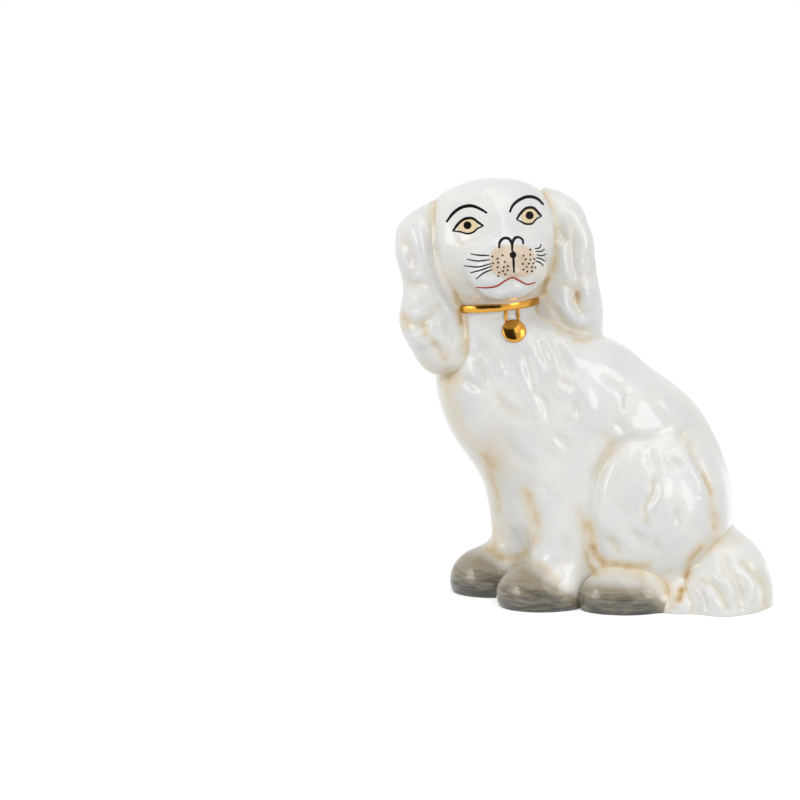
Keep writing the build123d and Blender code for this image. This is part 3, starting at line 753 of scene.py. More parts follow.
@dataclass
class Clay:
    """A casting's skin: its own form, with a slip fillet against the castings it is luted to."""

    name: str
    slot: Slot = Slot.WHITE
    fillet: float = 6.0
    flare: float = 7.0
    dive: float = 0.45
    # Painted shade: how much the wash darkens near neighbouring castings, and over how many mm.
    stain_and_shade: float = 0.32
    shade_reach: float = 4.5
    columns: int = 200
    rows: int = 160
    against: tuple[Form, ...] = ()
    # Castings whose nearness darkens this one's wash as painted shade.
    shade_casters: tuple[Form, ...] = ()
    joined: Form | None = None
    made: bpy.types.Object | None = None

    def form(self) -> Form:
        """The casting's own form."""
        raise NotImplementedError

    def rays(self) -> Rays:
        """Rays from inside the casting."""
        raise NotImplementedError

    def count(self, wanted: int) -> int:
        return wanted

    def level_rays(self, stack: OvalStack, top: float) -> Rays:
        """Level rays from a stack's spine, from the floor to the top."""
        heights = np.linspace(0.0, top, self.count(self.rows))
        origins = np.column_stack([stack.spine(heights)[:, :2], heights])
        return Rays(origins, np.zeros(len(heights)), self.count(self.columns))

    def fan_rays(self, middle: Points | Xyz, lowest: float) -> Rays:
        """Rays from one point, from the lowest elevation in degrees to almost straight up."""
        rise = np.radians(np.linspace(lowest, NEAR_POLE, self.count(self.rows)))
        return Rays(np.repeat([middle], len(rise), axis=0), rise, self.count(self.columns))

    def extra(self, points: Points, normals: Points) -> dict[str, Points]:
        """Further values per grid point for the finish."""
        return {}

    def ends(self, points: Points) -> tuple[Points, Points]:
        """The points that close the first and the last row."""
        return points[0].mean(axis=0), points[-1].mean(axis=0)

    def below(self, points: Points) -> Points:
        """Rows to add before the first row."""
        return points[:0]

    def build(self) -> "Clay":
        """Finds the skin along the rays, presses the strokes in, and keeps the brown wash, with painted shade
        darkening it near neighbouring castings, and other values per vertex.

        Returns:
            This casting, with its object made.
        """
        rays = self.rays()
        form = self.joined or self.form()
        reach = rays.meet(form)
        if self.against:
            reach = rays.flare(Luted(form, self.against, self.fillet, self.dive), reach, self.flare)
        points = rays.points(reach)
        normals = grid_normals(points)
        height, wash_and_shade = RELIEF.read(points, normals)
        # Painted shade: the wash darkens close to neighbouring castings, where shade falls between parts.
        for other in self.shade_casters:
            near = np.clip(1.0 - other.distance(points) / self.shade_reach, 0.0, 1.0)
            wash_and_shade = 1.0 - (1.0 - wash_and_shade) * (1.0 - self.stain_and_shade * near * near)
        points = points + height[..., None] * normals
        points[..., 2] = np.maximum(points[..., 2], 0.0)
        layers = {"wash_and_shade": wash_and_shade, **self.extra(points, normals)}
        under = self.below(points)
        points = np.concatenate([under, points])
        pad = ((len(under), 0), (0, 0))
        flat = {k: np.append(np.pad(v, pad), [0.0, v[-1].mean()]).ravel() for k, v in layers.items()}
        start, end = self.ends(points)
        self.made = make_object(self.name + "_glazed", [Skin(points, start, end)], flat)
        return self

    def dress(self, finish: "Glaze") -> None:
        """Gives the skin its glaze and its place in the frame."""
        self.made.data.materials.append(finish.material())
        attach(self.made, BODY)
        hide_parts(self.name)


@dataclass
class Body(Clay):
    """Trunk and haunches: a stack of level ovals from the foot to the neck, with an egg for each haunch."""

    columns: int = 340
    rows: int = 260
    top: float = 152.0
    haunches: tuple[Xyz, ...] = ((33.7, -18.5, 44.9), (33.7, 17.6, 44.9))
    haunch_radii: Xyz = (39.0, 30.0, 42.0)
    haunch_fillet: float = 9.0
    shoulders: tuple[Egg, ...] = (
        ((-15.5, -19.5, 58.0), (15.5, 16.0, 34.0)),
        ((-36.0, 2.5, 61.0), (13.8, 15.0, 34.0)),
    )
    shoulder_fillet: float = 14.0
    web: Egg = ((45.0, -37.0, 1.0), (13.0, 14.0, 12.0))
    rim: float = 5.0
    well: float = 7.4
    stations: tuple[Oval, ...] = (
        (0.0, 21.7, 1.6, 54.3, 35.3),
        (29.3, 22.2, 1.6, 55.7, 36.1),
        (51.7, 18.1, 1.2, 59.1, 37.3),
        (66.3, 9.1, 1.0, 64.5, 38.1),
        (78.2, 2.0, 0.8, 67.0, 39.0),
        (102.7, -11.2, -0.8, 63.8, 38.5),
        (118.1, -21.7, -2.1, 54.3, 35.7),
        (130.5, -28.7, -3.3, 44.6, 32.0),
        (139.2, -39.6, -4.9, 31.9, 27.7),
        (146.0, -47.3, -6.2, 24.2, 23.9),
        (152.0, -48.0, -6.2, 23.7, 23.6),
        (160.0, -48.0, -6.2, 23.7, 23.6),
    )

    def trunk(self) -> OvalStack:
        """The stack of level ovals."""
        return upright(self.stations)

    def form(self) -> Form:
        """Trunk, shoulders, haunches and the web of clay between hind foot and tail, run together."""
        haunches = [Ellipsoid(shifted(*middle), self.haunch_radii) for middle in self.haunches]
        shoulders = [Ellipsoid(shifted(*middle), radii) for middle, radii in self.shoulders]
        front = Merged((self.trunk(), *shoulders), self.shoulder_fillet)
        web = Ellipsoid(shifted(*self.web[0]), self.web[1])
        return Merged((front, *haunches, web), self.haunch_fillet)

    def rays(self) -> Rays:
        """Level rays from the trunk's spine, from the floor to just over the neck seam."""
        return self.level_rays(self.trunk(), self.top)

    def below(self, points: Points) -> Points:
        """Foot rim and recess: the first ring drawn in by the rim, on the floor and at the top of the well."""
        middle = points[0].mean(axis=0)
        inward = middle - points[0]
        inner = points[0] + self.rim * inward / np.linalg.norm(inward, axis=-1, keepdims=True)
        return np.stack([inner + [0.0, 0.0, self.well], inner])


@dataclass
class Head(Clay):
    """Skull, muzzle and neck: a stack of ovals from nose to nape, run into the neck and cut at the seam."""

    columns: int = 300
    rows: int = 260
    neck_fillet: float = 14.0
    stations: tuple[Oval, ...] = (
        (-48.0, 0.0, -13.0, 1.0, 0.9),
        (-47.5, 0.0, -13.0, 4.3, 3.5),
        (-46.4, 0.0, -13.0, 9.2, 7.5),
        (-43.2, 0.0, -12.8, 14.6, 12.2),
        (-37.6, 0.0, -11.6, 17.7, 15.4),
        (-30.4, 0.0, -8.1, 21.4, 19.7),
        (-21.6, 0.0, -2.9, 26.8, 25.5),
        (-9.6, 0.0, -0.6, 30.5, 28.7),
        (6.4, 0.0, 0.0, 30.5, 29.0),
        (21.6, 0.0, 0.9, 25.3, 24.4),
        (30.0, 0.0, 1.5, 15.9, 15.1),
        (32.8, 0.0, 1.7, 6.7, 6.4),
        (33.4, 0.0, 1.7, 1.0, 1.0),
    )
    swells: tuple[Egg, ...] = (
        ((-8.0, -37.6, -13.5), (11.5, 9.5, 9.0)),
        ((7.4, -37.6, -13.5), (10.8, 9.3, 9.0)),
        ((0.0, -33.0, -19.5), (12.0, 9.0, 6.0)),
    )
    swell_fillet: float = 6.0
    corners: tuple[Egg, ...] = (
        ((-19.5, -3.0, 9.0), (8.0, 14.0, 10.0)),
        ((18.5, -3.0, 10.0), (7.0, 13.0, 10.0)),
    )
    corner_fillet: float = 16.0
    patch_power: float = 3.0
    patch_edge: Span = (0.86, 1.08)
    patch_facing: Span = (0.0, 0.3)
    neck: tuple[Oval, ...] = (
        (130.0, -48.0, -6.2, 23.7, 23.6),
        (152.0, -48.0, -6.2, 23.7, 23.6),
        (160.0, -48.0, -7.2, 25.0, 24.6),
        (170.0, -47.6, -8.2, 26.0, 24.6),
        (184.0, -47.0, -8.2, 20.0, 18.0),
    )

    def form(self) -> Form:
        """Skull and neck run together."""
        corners = [Ellipsoid(*corner) for corner in self.corners]
        swells = [Ellipsoid(*swell) for swell in self.swells]
        skull = Merged((OvalStack(1, self.stations), *corners), self.corner_fillet)
        skull = Merged((skull, *swells), self.swell_fillet)
        return Merged((Placed(skull, HEAD.origin, HEAD.axes), upright(self.neck)), self.neck_fillet)

    def rays(self) -> Rays:
        """Rays from the middle of the skull, from the seam below to the crown."""
        return self.fan_rays(HEAD.origin, -NEAR_POLE)

    def extra(self, points: Points, normals: Points) -> dict[str, Points]:
        """The muzzle's pink patch: an oval in the picture, soft at its edge."""
        spots = (VIEW.pixels(points) - np.array(MUZZLE_PATCH[:2])) / np.array(MUZZLE_PATCH[2:])
        size = np.linalg.norm(spots, ord=self.patch_power, axis=-1)
        front = smoothstep(*self.patch_facing, -normals[..., 1])
        return {"blush": front * (1.0 - smoothstep(*self.patch_edge, size))}


@dataclass
class Ear(Clay):
    """A hanging ear: a stack of ovals down the head's own vertical, with rounded ends."""

    fillet: float = 6.0
    flare: float = 8.0
    columns: int = 230
    rows: int = 230
    cap: float = 7.0
    fan_lowest: float = -88.0
    fan_share: int = 5
    stations: tuple[Oval, ...] = ()

    def stack(self) -> OvalStack:
        """The ovals in the head's frame."""
        return OvalStack(2, self.stations)

    def form(self) -> Form:
        """The stack in the part's frame."""
        return Placed(self.stack(), HEAD.origin, HEAD.axes)

    def rays(self) -> Rays:
        """Rays from the ear's spine, fanned out over both ends."""
        low, high = self.stations[0][0] + self.cap, self.stations[-1][0] - self.cap
        count = self.count(self.rows)
        fan = np.radians(np.linspace(self.fan_lowest, 0.0, count // self.fan_share, endpoint=False))
        heights = np.concatenate([np.full(len(fan), low), np.linspace(low, high, count), np.full(len(fan), high)])
        rise = np.concatenate([fan, np.zeros(count), -fan[::-1]])
        local = np.column_stack([self.stack().spine(heights)[:, :2], heights])
        return Rays(HEAD.origin + local @ HEAD.axes, rise, self.count(self.columns), HEAD.axes)


@dataclass
class Foreleg(Clay):
    """A foreleg with its foot: a stack of round slices that runs into a flat-bottomed egg."""

    fillet: float = 6.0
    flare: float = 8.0
    dive: float = 0.2
    columns: int = 170
    rows: int = 170
    height: float = 96.0
    stations: tuple[Oval, ...] = ()
    foot: tuple[float, float] = (0.0, 0.0)
    foot_middle: float = 6.2
    foot_radii: Xyz = (21.5, 17.5, 17.8)
    foot_fillet: float = 8.0
    painted: float = 20.0
    paint_fall: float = 0.8
    paint_top: float = 25.0
    paint_deep: float = 22.0
    paint_soft: Span = (-9.0, 7.0)

    def leg(self) -> OvalStack:
        """The leg without its foot."""
        return upright(self.stations)

    def paw(self) -> Ellipsoid:
        """The foot alone."""
        return Ellipsoid(shifted(*self.foot, self.foot_middle), self.foot_radii)

    def form(self) -> Form:
        """Leg and foot run together."""
        return Merged((self.leg(), self.paw()), self.foot_fillet)

    def rays(self) -> Rays:
        """Level rays from the leg's spine, from the floor up into the chest."""
        return self.level_rays(self.leg(), self.height)

    def extra(self, points: Points, normals: Points) -> dict[str, Points]:
        """Grey paint on the toe: its upper edge falls toward the heel, and it is deepest at the floor."""
        behind = points[..., 0] - shifted(*self.foot, 0.0)[0]
        edge = np.minimum(self.painted - self.paint_fall * behind, self.paint_top)
        return {"paw": toe_paint(points[..., 2], edge, self.paint_deep, self.paint_soft)}


@dataclass
class HindFoot(Clay):
    """A hind foot: a flat-bottomed egg in front of the haunch."""

    slot: Slot = Slot.PAWS
    fillet: float = 5.0
    flare: float = 6.0
    columns: int = 140
    rows: int = 80
    foot: tuple[float, float] = (0.0, 0.0)
    middle: float = 5.5
    radii: Xyz = (23.0, 15.0, 15.5)
    painted: float = 16.0
    paint_back: Span = (6.0, 26.0)
    paint_deep: float = 18.0
    paint_soft: Span = (-8.0, 6.0)

    def form(self) -> Form:
        """The egg."""
        return Ellipsoid(shifted(*self.foot, self.middle), self.radii)

    def rays(self) -> Rays:
        """Rays from the middle of the sole, from level to straight up."""
        return self.fan_rays(shifted(*self.foot, 0.0), 0.0)

    def extra(self, points: Points, normals: Points) -> dict[str, Points]:
        """Grey paint on the toe: its upper edge falls to the floor behind the middle of the foot."""
        behind = points[..., 0] - shifted(*self.foot, 0.0)[0]
        edge = self.painted * (1.0 - smoothstep(*self.paint_back, behind))
        return {"paw": toe_paint(points[..., 2], edge, self.paint_deep, self.paint_soft)}


@dataclass
class Tail(Clay):
    """The tail round the rump: a row of half ovals that stand on the floor."""

    fillet: float = 9.0
    flare: float = 12.0
    columns: int = 240
    rows: int = 120
    middle: tuple[float, float] = (68.0, -16.0)
    stations: tuple[Oval, ...] = (
        (-56.2, 66.0, 0.0, 0.6, 0.6),
        (-55.0, 66.0, 0.0, 5.6, 6.6),
        (-50.0, 66.9, 0.0, 13.6, 17.7),
        (-41.0, 69.2, 0.0, 20.2, 27.5),
        (-26.2, 72.2, 0.0, 23.3, 34.0),
        (-9.8, 74.5, 0.0, 21.6, 34.0),
        (6.6, 73.9, 0.0, 16.3, 28.9),
        (18.9, 66.9, 0.0, 8.8, 17.0),
        (20.5, 66.9, 0.0, 1.0, 1.0),
    )

    def form(self) -> Form:
        """The row of half ovals in the part's frame."""
        moved = tuple((y + SHIFT[1], x + SHIFT[0], z, a, b) for y, x, z, a, b in self.stations)
        return OvalStack(1, moved)

    def rays(self) -> Rays:
        """Rays from the middle of the underside, from level to straight up."""
        return self.fan_rays(shifted(*self.middle, 0.0), 0.0)


def srgb(code: str) -> tuple[float, float, float, float]:
    """Linear colour of an sRGB hex code."""
    parts = np.array([int(code[k : k + 2], 16) / 255.0 for k in (1, 3, 5)])
    linear = np.where(parts <= 0.04045, parts / 12.92, ((parts + 0.055) / 1.055) ** 2.4)
    return (*map(float, linear), 1.0)


def add_node(
    tree: bpy.types.NodeTree, kind: str, inputs: dict[str | int, object] | None = None, **settings: object
) -> bpy.types.Node:
    """Adds one node.

    Args:
        tree: Tree that it joins.
        kind: Type name of the node.
        inputs: Sockets by name or number, each with a constant or with the socket that feeds it.
        **settings: Properties of the node.

    Returns:
        The node.
    """
    node = tree.nodes.new(kind)
    for name, value in settings.items():
        setattr(node, name, value)
    for name, value in (inputs or {}).items():
        if isinstance(value, bpy.types.NodeSocket):
            tree.links.new(value, node.inputs[name])
        else:
            node.inputs[name].default_value = value
    return node


@dataclass(frozen=True)
class Finish:
    """A finish: one material, made once."""

    name: str

    def nodes(self, tree: bpy.types.NodeTree) -> bpy.types.NodeSocket:
        """Adds the nodes and gives the surface."""
        raise NotImplementedError

    def material(self) -> bpy.types.Material:
        """The material, made at its first use."""
        known = bpy.data.materials.get(self.name)
        if known:
            return known
        made = bpy.data.materials.new(self.name)
        made.use_nodes = True
        made.node_tree.nodes.clear()
        surface = self.nodes(made.node_tree)
        add_node(made.node_tree, "ShaderNodeOutputMaterial", {"Surface": surface})
        return made


@dataclass(frozen=True)
class Glaze(Finish):
    """Lead glaze over earthenware: a warm white, brown wash in the hollows that is partly painted shade, and brushed
    grey feet.

    A coat has the value that it reads, the gain and shift that turn the value into its share, and its colour. A grain
    has its size in mm and its detail.
    """

    white: str = "#EFEEE9"
    coats: tuple[tuple[str, float, float, str], ...] = (
        ("pool", 2.4, -0.75, "#E2E4E4"),
        # Three coats of brown: the wash, partly painted shade in recesses and where castings meet.
        ("stain_and_shade", 2.4, 0.0, "#E3D1AE"),
        ("stain_and_shade", 1.8, -0.5, "#C09A62"),
        ("stain_and_shade", 2.0, -1.2, "#80552A"),
        ("blush", 1.0, 0.0, "#DCC8B0"),
        ("paw", 2.6, 0.0, "#9E937D"),
        ("brushed", 1.0, -1.0, "#3E3D37"),
    )
    grains: tuple[tuple[str, float, float], ...] = (
        ("pool", 22.0, 2.0),
        ("blotch", 6.0, 3.0),
        ("ripple", 9.0, 1.0),
        ("streak", 1.6, 3.0),
    )
    streak_flat: Xyz = (0.2, 0.2, 1.0)
    streak_share: Span = (1.8, -0.9)
    blotch_share: Span = (1.3, 0.25)
    paint_load: float = 1.9
    ripple_strength: float = 0.12
    ripple_height: float = 0.4

    def nodes(self, tree: bpy.types.NodeTree) -> bpy.types.NodeSocket:
        """Colour from the painted values and noise in mm, under one clear coat that ripples a little."""
        place = add_node(tree, "ShaderNodeTexCoord").outputs["Object"]
        flat = add_node(tree, "ShaderNodeMapping", {"Vector": place, "Scale": self.streak_flat}).outputs["Vector"]
        read = {
            name: add_node(tree, "ShaderNodeAttribute", attribute_name=name).outputs["Fac"]
            for name in ("wash_and_shade", "paw", "blush")
        }
        for name, size, detail in self.grains:
            inputs = {"Vector": flat if name == "streak" else place, "Scale": 1.0 / (size * MM), "Detail": detail}
            read[name] = add_node(tree, "ShaderNodeTexNoise", inputs).outputs["Fac"]
        inputs = {0: read["blotch"], **dict(enumerate(self.blotch_share, 1))}
        patchy = add_node(tree, "ShaderNodeMath", inputs, operation="MULTIPLY_ADD").outputs[0]
        # Brown wash share, partly painted shade, made patchy by the blotch noise.
        inputs = {0: read["wash_and_shade"], 1: patchy}
        read["stain_and_shade"] = add_node(tree, "ShaderNodeMath", inputs, operation="MULTIPLY", use_clamp=True).outputs[0]
        inputs = {0: read["streak"], **dict(enumerate(self.streak_share, 1))}
        sway = add_node(tree, "ShaderNodeMath", inputs, operation="MULTIPLY_ADD").outputs[0]
        inputs = {0: read["paw"], 1: self.paint_load, 2: sway}
        read["brushed"] = add_node(tree, "ShaderNodeMath", inputs, operation="MULTIPLY_ADD").outputs[0]
        colour = srgb(self.white)
        for name, gain, shift, tint in self.coats:
            inputs = {0: read[name], 1: gain, 2: shift}
            share = add_node(tree, "ShaderNodeMath", inputs, operation="MULTIPLY_ADD", use_clamp=True).outputs[0]
            inputs = {"Factor": share, 6: colour, 7: srgb(tint)}
            colour = add_node(tree, "ShaderNodeMix", inputs, data_type="RGBA").outputs[2]
        inputs = {"Height": read["ripple"], "Strength": self.ripple_strength, "Distance": self.ripple_height * MM}
        bump = add_node(tree, "ShaderNodeBump", inputs).outputs["Normal"]
        inputs = {
            "Base Color": colour,
            "Roughness": 0.34,
            "Specular IOR Level": 0.4,
            "Coat Weight": 0.85,
            "Coat Roughness": 0.06,
            "Normal": bump,
            "Coat Normal": bump,
        }
        return add_node(tree, "ShaderNodeBsdfPrincipled", inputs).outputs["BSDF"]


@dataclass(frozen=True)
class Solid(Finish):
    """One plain colour with its gloss: enamel lines, bare biscuit or gold lustre."""

    colour: str
    roughness: float
    metal: float = 0.0
    specular: float = 0.5
    grain: float = 2.0
    relief: float = 0.0
    relief_height: float = 0.3

    def nodes(self, tree: bpy.types.NodeTree) -> bpy.types.NodeSocket:
        """One shader, with a fine bump where the finish has a grain."""
        place = add_node(tree, "ShaderNodeTexCoord").outputs["Object"]
        grain = add_node(tree, "ShaderNodeTexNoise", {"Vector": place, "Scale": 1.0 / (self.grain * MM)})
        inputs = {"Height": grain.outputs["Fac"], "Strength": self.relief, "Distance": self.relief_height * MM}
        bump = add_node(tree, "ShaderNodeBump", inputs).outputs["Normal"]
        inputs = {
            "Base Color": srgb(self.colour),
            "Roughness": self.roughness,
            "Metallic": self.metal,
            "Specular IOR Level": self.specular,
            "Normal": bump,
        }
        return add_node(tree, "ShaderNodeBsdfPrincipled", inputs).outputs["BSDF"]


# Glossy glaze: reads as wet, warm white china with brown caught in the modelling, partly real wash and partly painted
# shade.
GLAZE = Glaze("lead_glazed_earthenware")
# Enamel lines: a near-black brush line that still shines.
BLACK = Solid("black_enamel", "#120F0D", 0.4, specular=0.1)
# Iron-red line of the mouth: dull and thin.
RED = Solid("iron_red_enamel", "#B2432F", 0.4, specular=0.2)
# Cream iris: a flat, pale ring round the pupil.
IRIS = Solid("cream_enamel", "#E8D3AC", 0.4, specular=0.2)
# Gold lustre: a bright, brown-gold mirror over moulded relief.
GOLD = Solid("burnished_gold", "#CC953F", 0.16, metal=1.0, grain=3.0, relief=0.2)
# Bare fired clay under the foot: pale and matt.
BISCUIT = Solid("biscuit_earthenware", "#D9CDB8", 0.85, grain=0.8, relief=0.4)
# Dark card in front: the dark half that the gold mirrors.
CARD = Solid("black_card", "#0C0B0A", 0.9)


@dataclass(frozen=True)
class Surface:
    """A skin that lines and fittings are laid on: a blended form with the strokes pressed in."""

    form: Form
    middle: Points

    def slope(self, points: Points) -> Points:
        """Outward direction of the form, by differences over a short step."""
        step = 0.05 * np.eye(3)
        ways = [self.form.distance(points + s) - self.form.distance(points - s) for s in step]
        slope = np.stack(ways, axis=-1)
        return slope / np.maximum(np.linalg.norm(slope, axis=-1, keepdims=True), 1e-9)

    def under(self, pixels: Points) -> tuple[Points, Points]:
        """Where the photo pixels fall on the skin.

        Args:
            pixels: Photo pixels, last axis 2.

        Returns:
            Points on the skin in mm and outward directions there.
        """
        ways = VIEW.rays(pixels)
        far = ways @ (self.middle - VIEW.place)
        near = far - LOOK_REACH
        for _ in range(BISECTIONS):
            middle = (near + far) / 2.0
            inside = self.form.distance(VIEW.place + middle[..., None] * ways) < 0.0
            near, far = np.where(inside, near, middle), np.where(inside, middle, far)
        points = VIEW.place + far[..., None] * ways
        normals = self.slope(points)
        height, _ = RELIEF.read(points, normals)
        return points + height[..., None] * normals, normals


@dataclass
class Enamel:
    """Painted lines and dots: thin raised ribbons and lenses that follow the skin."""

    name: str
    lines: tuple[Ribbon, ...] = ()
    fills: tuple[Line, ...] = ()
    dots: Dots = (0.0, ())
    lift: float = 0.16
    root: float = 0.35
    line_step: float = 0.8
    outline_step: float = 1.0
    dot_sides: int = 16
    end_width: float = 0.45
    end_share: Span = (0.06, 0.94)

    def ribbon(self, surface: Surface, width: float, traced: Line) -> Skin:
        """A line: a flat arch across the stroke, drawn along it and thinner at its ends, closed underneath.

        Args:
            surface: Skin that it is painted on.
            width: Half width in photo pixels.
            traced: Its middle line in photo pixels.

        Returns:
            The closed ribbon.
        """
        line = smooth_line(np.array(traced), self.line_step)
        along = np.gradient(line, axis=0)
        along = along / np.linalg.norm(along, axis=-1, keepdims=True)
        share = np.clip(np.linspace(0.0, 1.0, len(line)), *self.end_share)
        taper = self.end_width + (1.0 - self.end_width) * np.sin(math.pi * share) ** 0.5
        across = np.stack([-along[:, 1], along[:, 0]], axis=-1) * (width * taper)[:, None]
        offsets = np.array([-1.0, -0.6, 0.0, 0.6, 1.0, 0.9, -0.9])
        lifts = np.append(self.lift * np.array([0.0, 0.8, 1.0, 0.8, 0.0]), [-self.root, -self.root])
        points, normals = surface.under(line[:, None] + offsets[:, None] * across[:, None])
        rings = points + lifts[:, None] * normals
        return Skin(rings, rings[0].mean(axis=0), rings[-1].mean(axis=0))

    def lens(self, surface: Surface, outline: Points) -> Skin:
        """A filled spot: rings of the outline drawn in to its middle, highest there, closed underneath.

        Args:
            surface: Skin that it is painted on.
            outline: Its outline in photo pixels, shape (n, 2).

        Returns:
            The closed lens.
        """
        middle = outline.mean(axis=0)
        shares = np.array([0.9, 1.0, 0.94, 0.8, 0.6, 0.4, 0.2])
        lifts = np.array([-self.root, 0.0, 0.6 * self.lift, *([self.lift] * 4)])
        spots = middle + shares[:, None, None] * (outline - middle)
        points, normals = surface.under(spots)
        rings = points + lifts[:, None, None] * normals
        return Skin(rings, rings[0].mean(axis=0), rings[-1].mean(axis=0))

    def build(self, surface: Surface, finish: Finish) -> None:
        """Lays every line and spot on the skin as one piece."""
        radius, places = self.dots
        turn = np.linspace(0.0, 2.0 * math.pi, self.dot_sides, endpoint=False)
        circle = radius * np.stack([np.cos(turn), np.sin(turn)], axis=-1)
        outlines = [smooth_line(np.array(fill), self.outline_step, closed=True) for fill in self.fills]
        outlines += [np.array(place) + circle for place in places]
        skins = [outward(self.lens(surface, outline)) for outline in outlines]
        skins += [outward(self.ribbon(surface, *line)) for line in self.lines]
        made = make_object(self.name, skins)
        made.data.materials.append(finish.material())
        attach(made, BODY)


def outward(skin: Skin) -> Skin:
    """The skin with its columns turned round, if its faces look inward."""
    points = skin.points - skin.points.mean(axis=(0, 1))
    around = np.roll(points, -1, axis=1) - points
    along = np.diff(points, axis=0)
    volume = np.sum(np.cross(around[:-1], along) * points[:-1])
    return skin if volume > 0.0 else Skin(skin.points[:, ::-1], skin.start, skin.end)


@dataclass
class Gilding:
    """Collar, locket and links, moulded on the neck and chest and gilded."""

    collar_middle: Xyz = (-48.0, -6.2, 151.2)
    collar_height: float = 4.0
    collar_relief: float = 1.1
    collar_root: float = 0.8
    collar_turn: Span = (190.0, 352.0)
    collar_rise: float = 22.0 * math.tan(math.radians(5.0))
    neck_radii: Span = (24.6, 26.0)
    locket_pixel: Span = (514.0, 331.0)
    locket_radius: float = 6.0
    locket_crown: float = 2.27
    link_pixels: Line = ((505.5, 315.5), (517.5, 314.5))
    link_radius: float = 0.85
    link_length: float = 6.4
    link_lift: float = 0.45
    link_end: float = 84.0
    locket_profile: Line = (
        (0.97, -0.8),
        (1.0, 0.3),
        (0.97, 0.8),
        (0.9, 1.1),
        (0.75, 1.5),
        (0.55, 1.86),
        (0.35, 2.1),
        (0.15, 2.23),
    )

    def collar(self) -> Skin:
        """Band round the front of the neck: a rounded section carried along the neck's oval."""
        turn = np.radians(np.linspace(*self.collar_turn, 120))
        level = np.stack([np.cos(turn), np.sin(turn), np.zeros_like(turn)], axis=-1)
        middle = np.array(shifted(*self.collar_middle))
        section = np.linspace(0.0, 2.0 * math.pi, 20, endpoint=False)
        across, upward = np.cos(section), np.sin(section)
        high = np.sign(upward) * np.abs(upward) ** 0.7 * self.collar_height / 2.0
        out = np.where(across > 0, self.collar_relief, self.collar_root) * np.sign(across)
        out = out * np.abs(across) ** 0.6
        neck = np.array([*self.neck_radii, 1.0]) * level
        points = middle + neck[:, None] + out[:, None] * level[:, None]
        points[..., 2] += self.collar_rise * np.cos(turn)[:, None] + high
        return Skin(points, points[0].mean(axis=0), points[-1].mean(axis=0))

    def seat(self, surface: Surface, pixel: Span) -> tuple[Points, Points, Points, Points]:
        """Where a fitting sits on the skin.

        Args:
            surface: Skin that it is moulded on.
            pixel: Its middle in the photo.

        Returns:
            Its middle in mm, and the directions across, up along the skin, and out.
        """
        centre, out = surface.under(np.array(pixel))
        across = np.cross([0.0, 0.0, 1.0], out)
        across = across / np.linalg.norm(across)
        return centre, across, np.cross(out, across), out

    def locket(self, surface: Surface) -> Skin:
        """Round locket: its domed profile, turned about the skin's normal."""
        centre, across, up, out = self.seat(surface, self.locket_pixel)
        turn = np.linspace(0.0, 2.0 * math.pi, 72, endpoint=False)[:, None]
        ring = np.cos(turn) * across + np.sin(turn) * up
        shape = np.array(self.locket_profile)[:, None, :]
        points = centre + self.locket_radius * shape[..., :1] * ring + shape[..., 1:] * out
        return Skin(points, points[0].mean(axis=0), centre + self.locket_crown * out)

    def link(self, surface: Surface, pixel: Span) -> Skin:
        """One link: a long bead that lies up the chest."""
        centre, across, up, out = self.seat(surface, pixel)
        rise = np.radians(np.linspace(-self.link_end, self.link_end, 21))[:, None, None]
        turn = np.linspace(0.0, 2.0 * math.pi, 24, endpoint=False)[:, None]
        ring = np.cos(turn) * across + np.sin(turn) * out
        points = centre + self.link_lift * out + self.link_radius * np.cos(rise) ** 0.4 * ring
        points = points + self.link_length / 2.0 * np.sin(rise) * up
        return Skin(points, points[0].mean(axis=0), points[-1].mean(axis=0))

    def build(self, surface: Surface) -> None:
        """Makes the three gilded pieces and gives them their places in the frame."""
        pieces = {
            "collar": [self.collar()],
            "locket": [self.locket(surface)],
            "locket_links": [self.link(surface, pixel) for pixel in self.link_pixels],
        }
        for name, skins in pieces.items():
            made = make_object(name + "_gilt", [outward(skin) for skin in skins])
            made.data.materials.append(GOLD.material())
            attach(made, BODY)
            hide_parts(name)


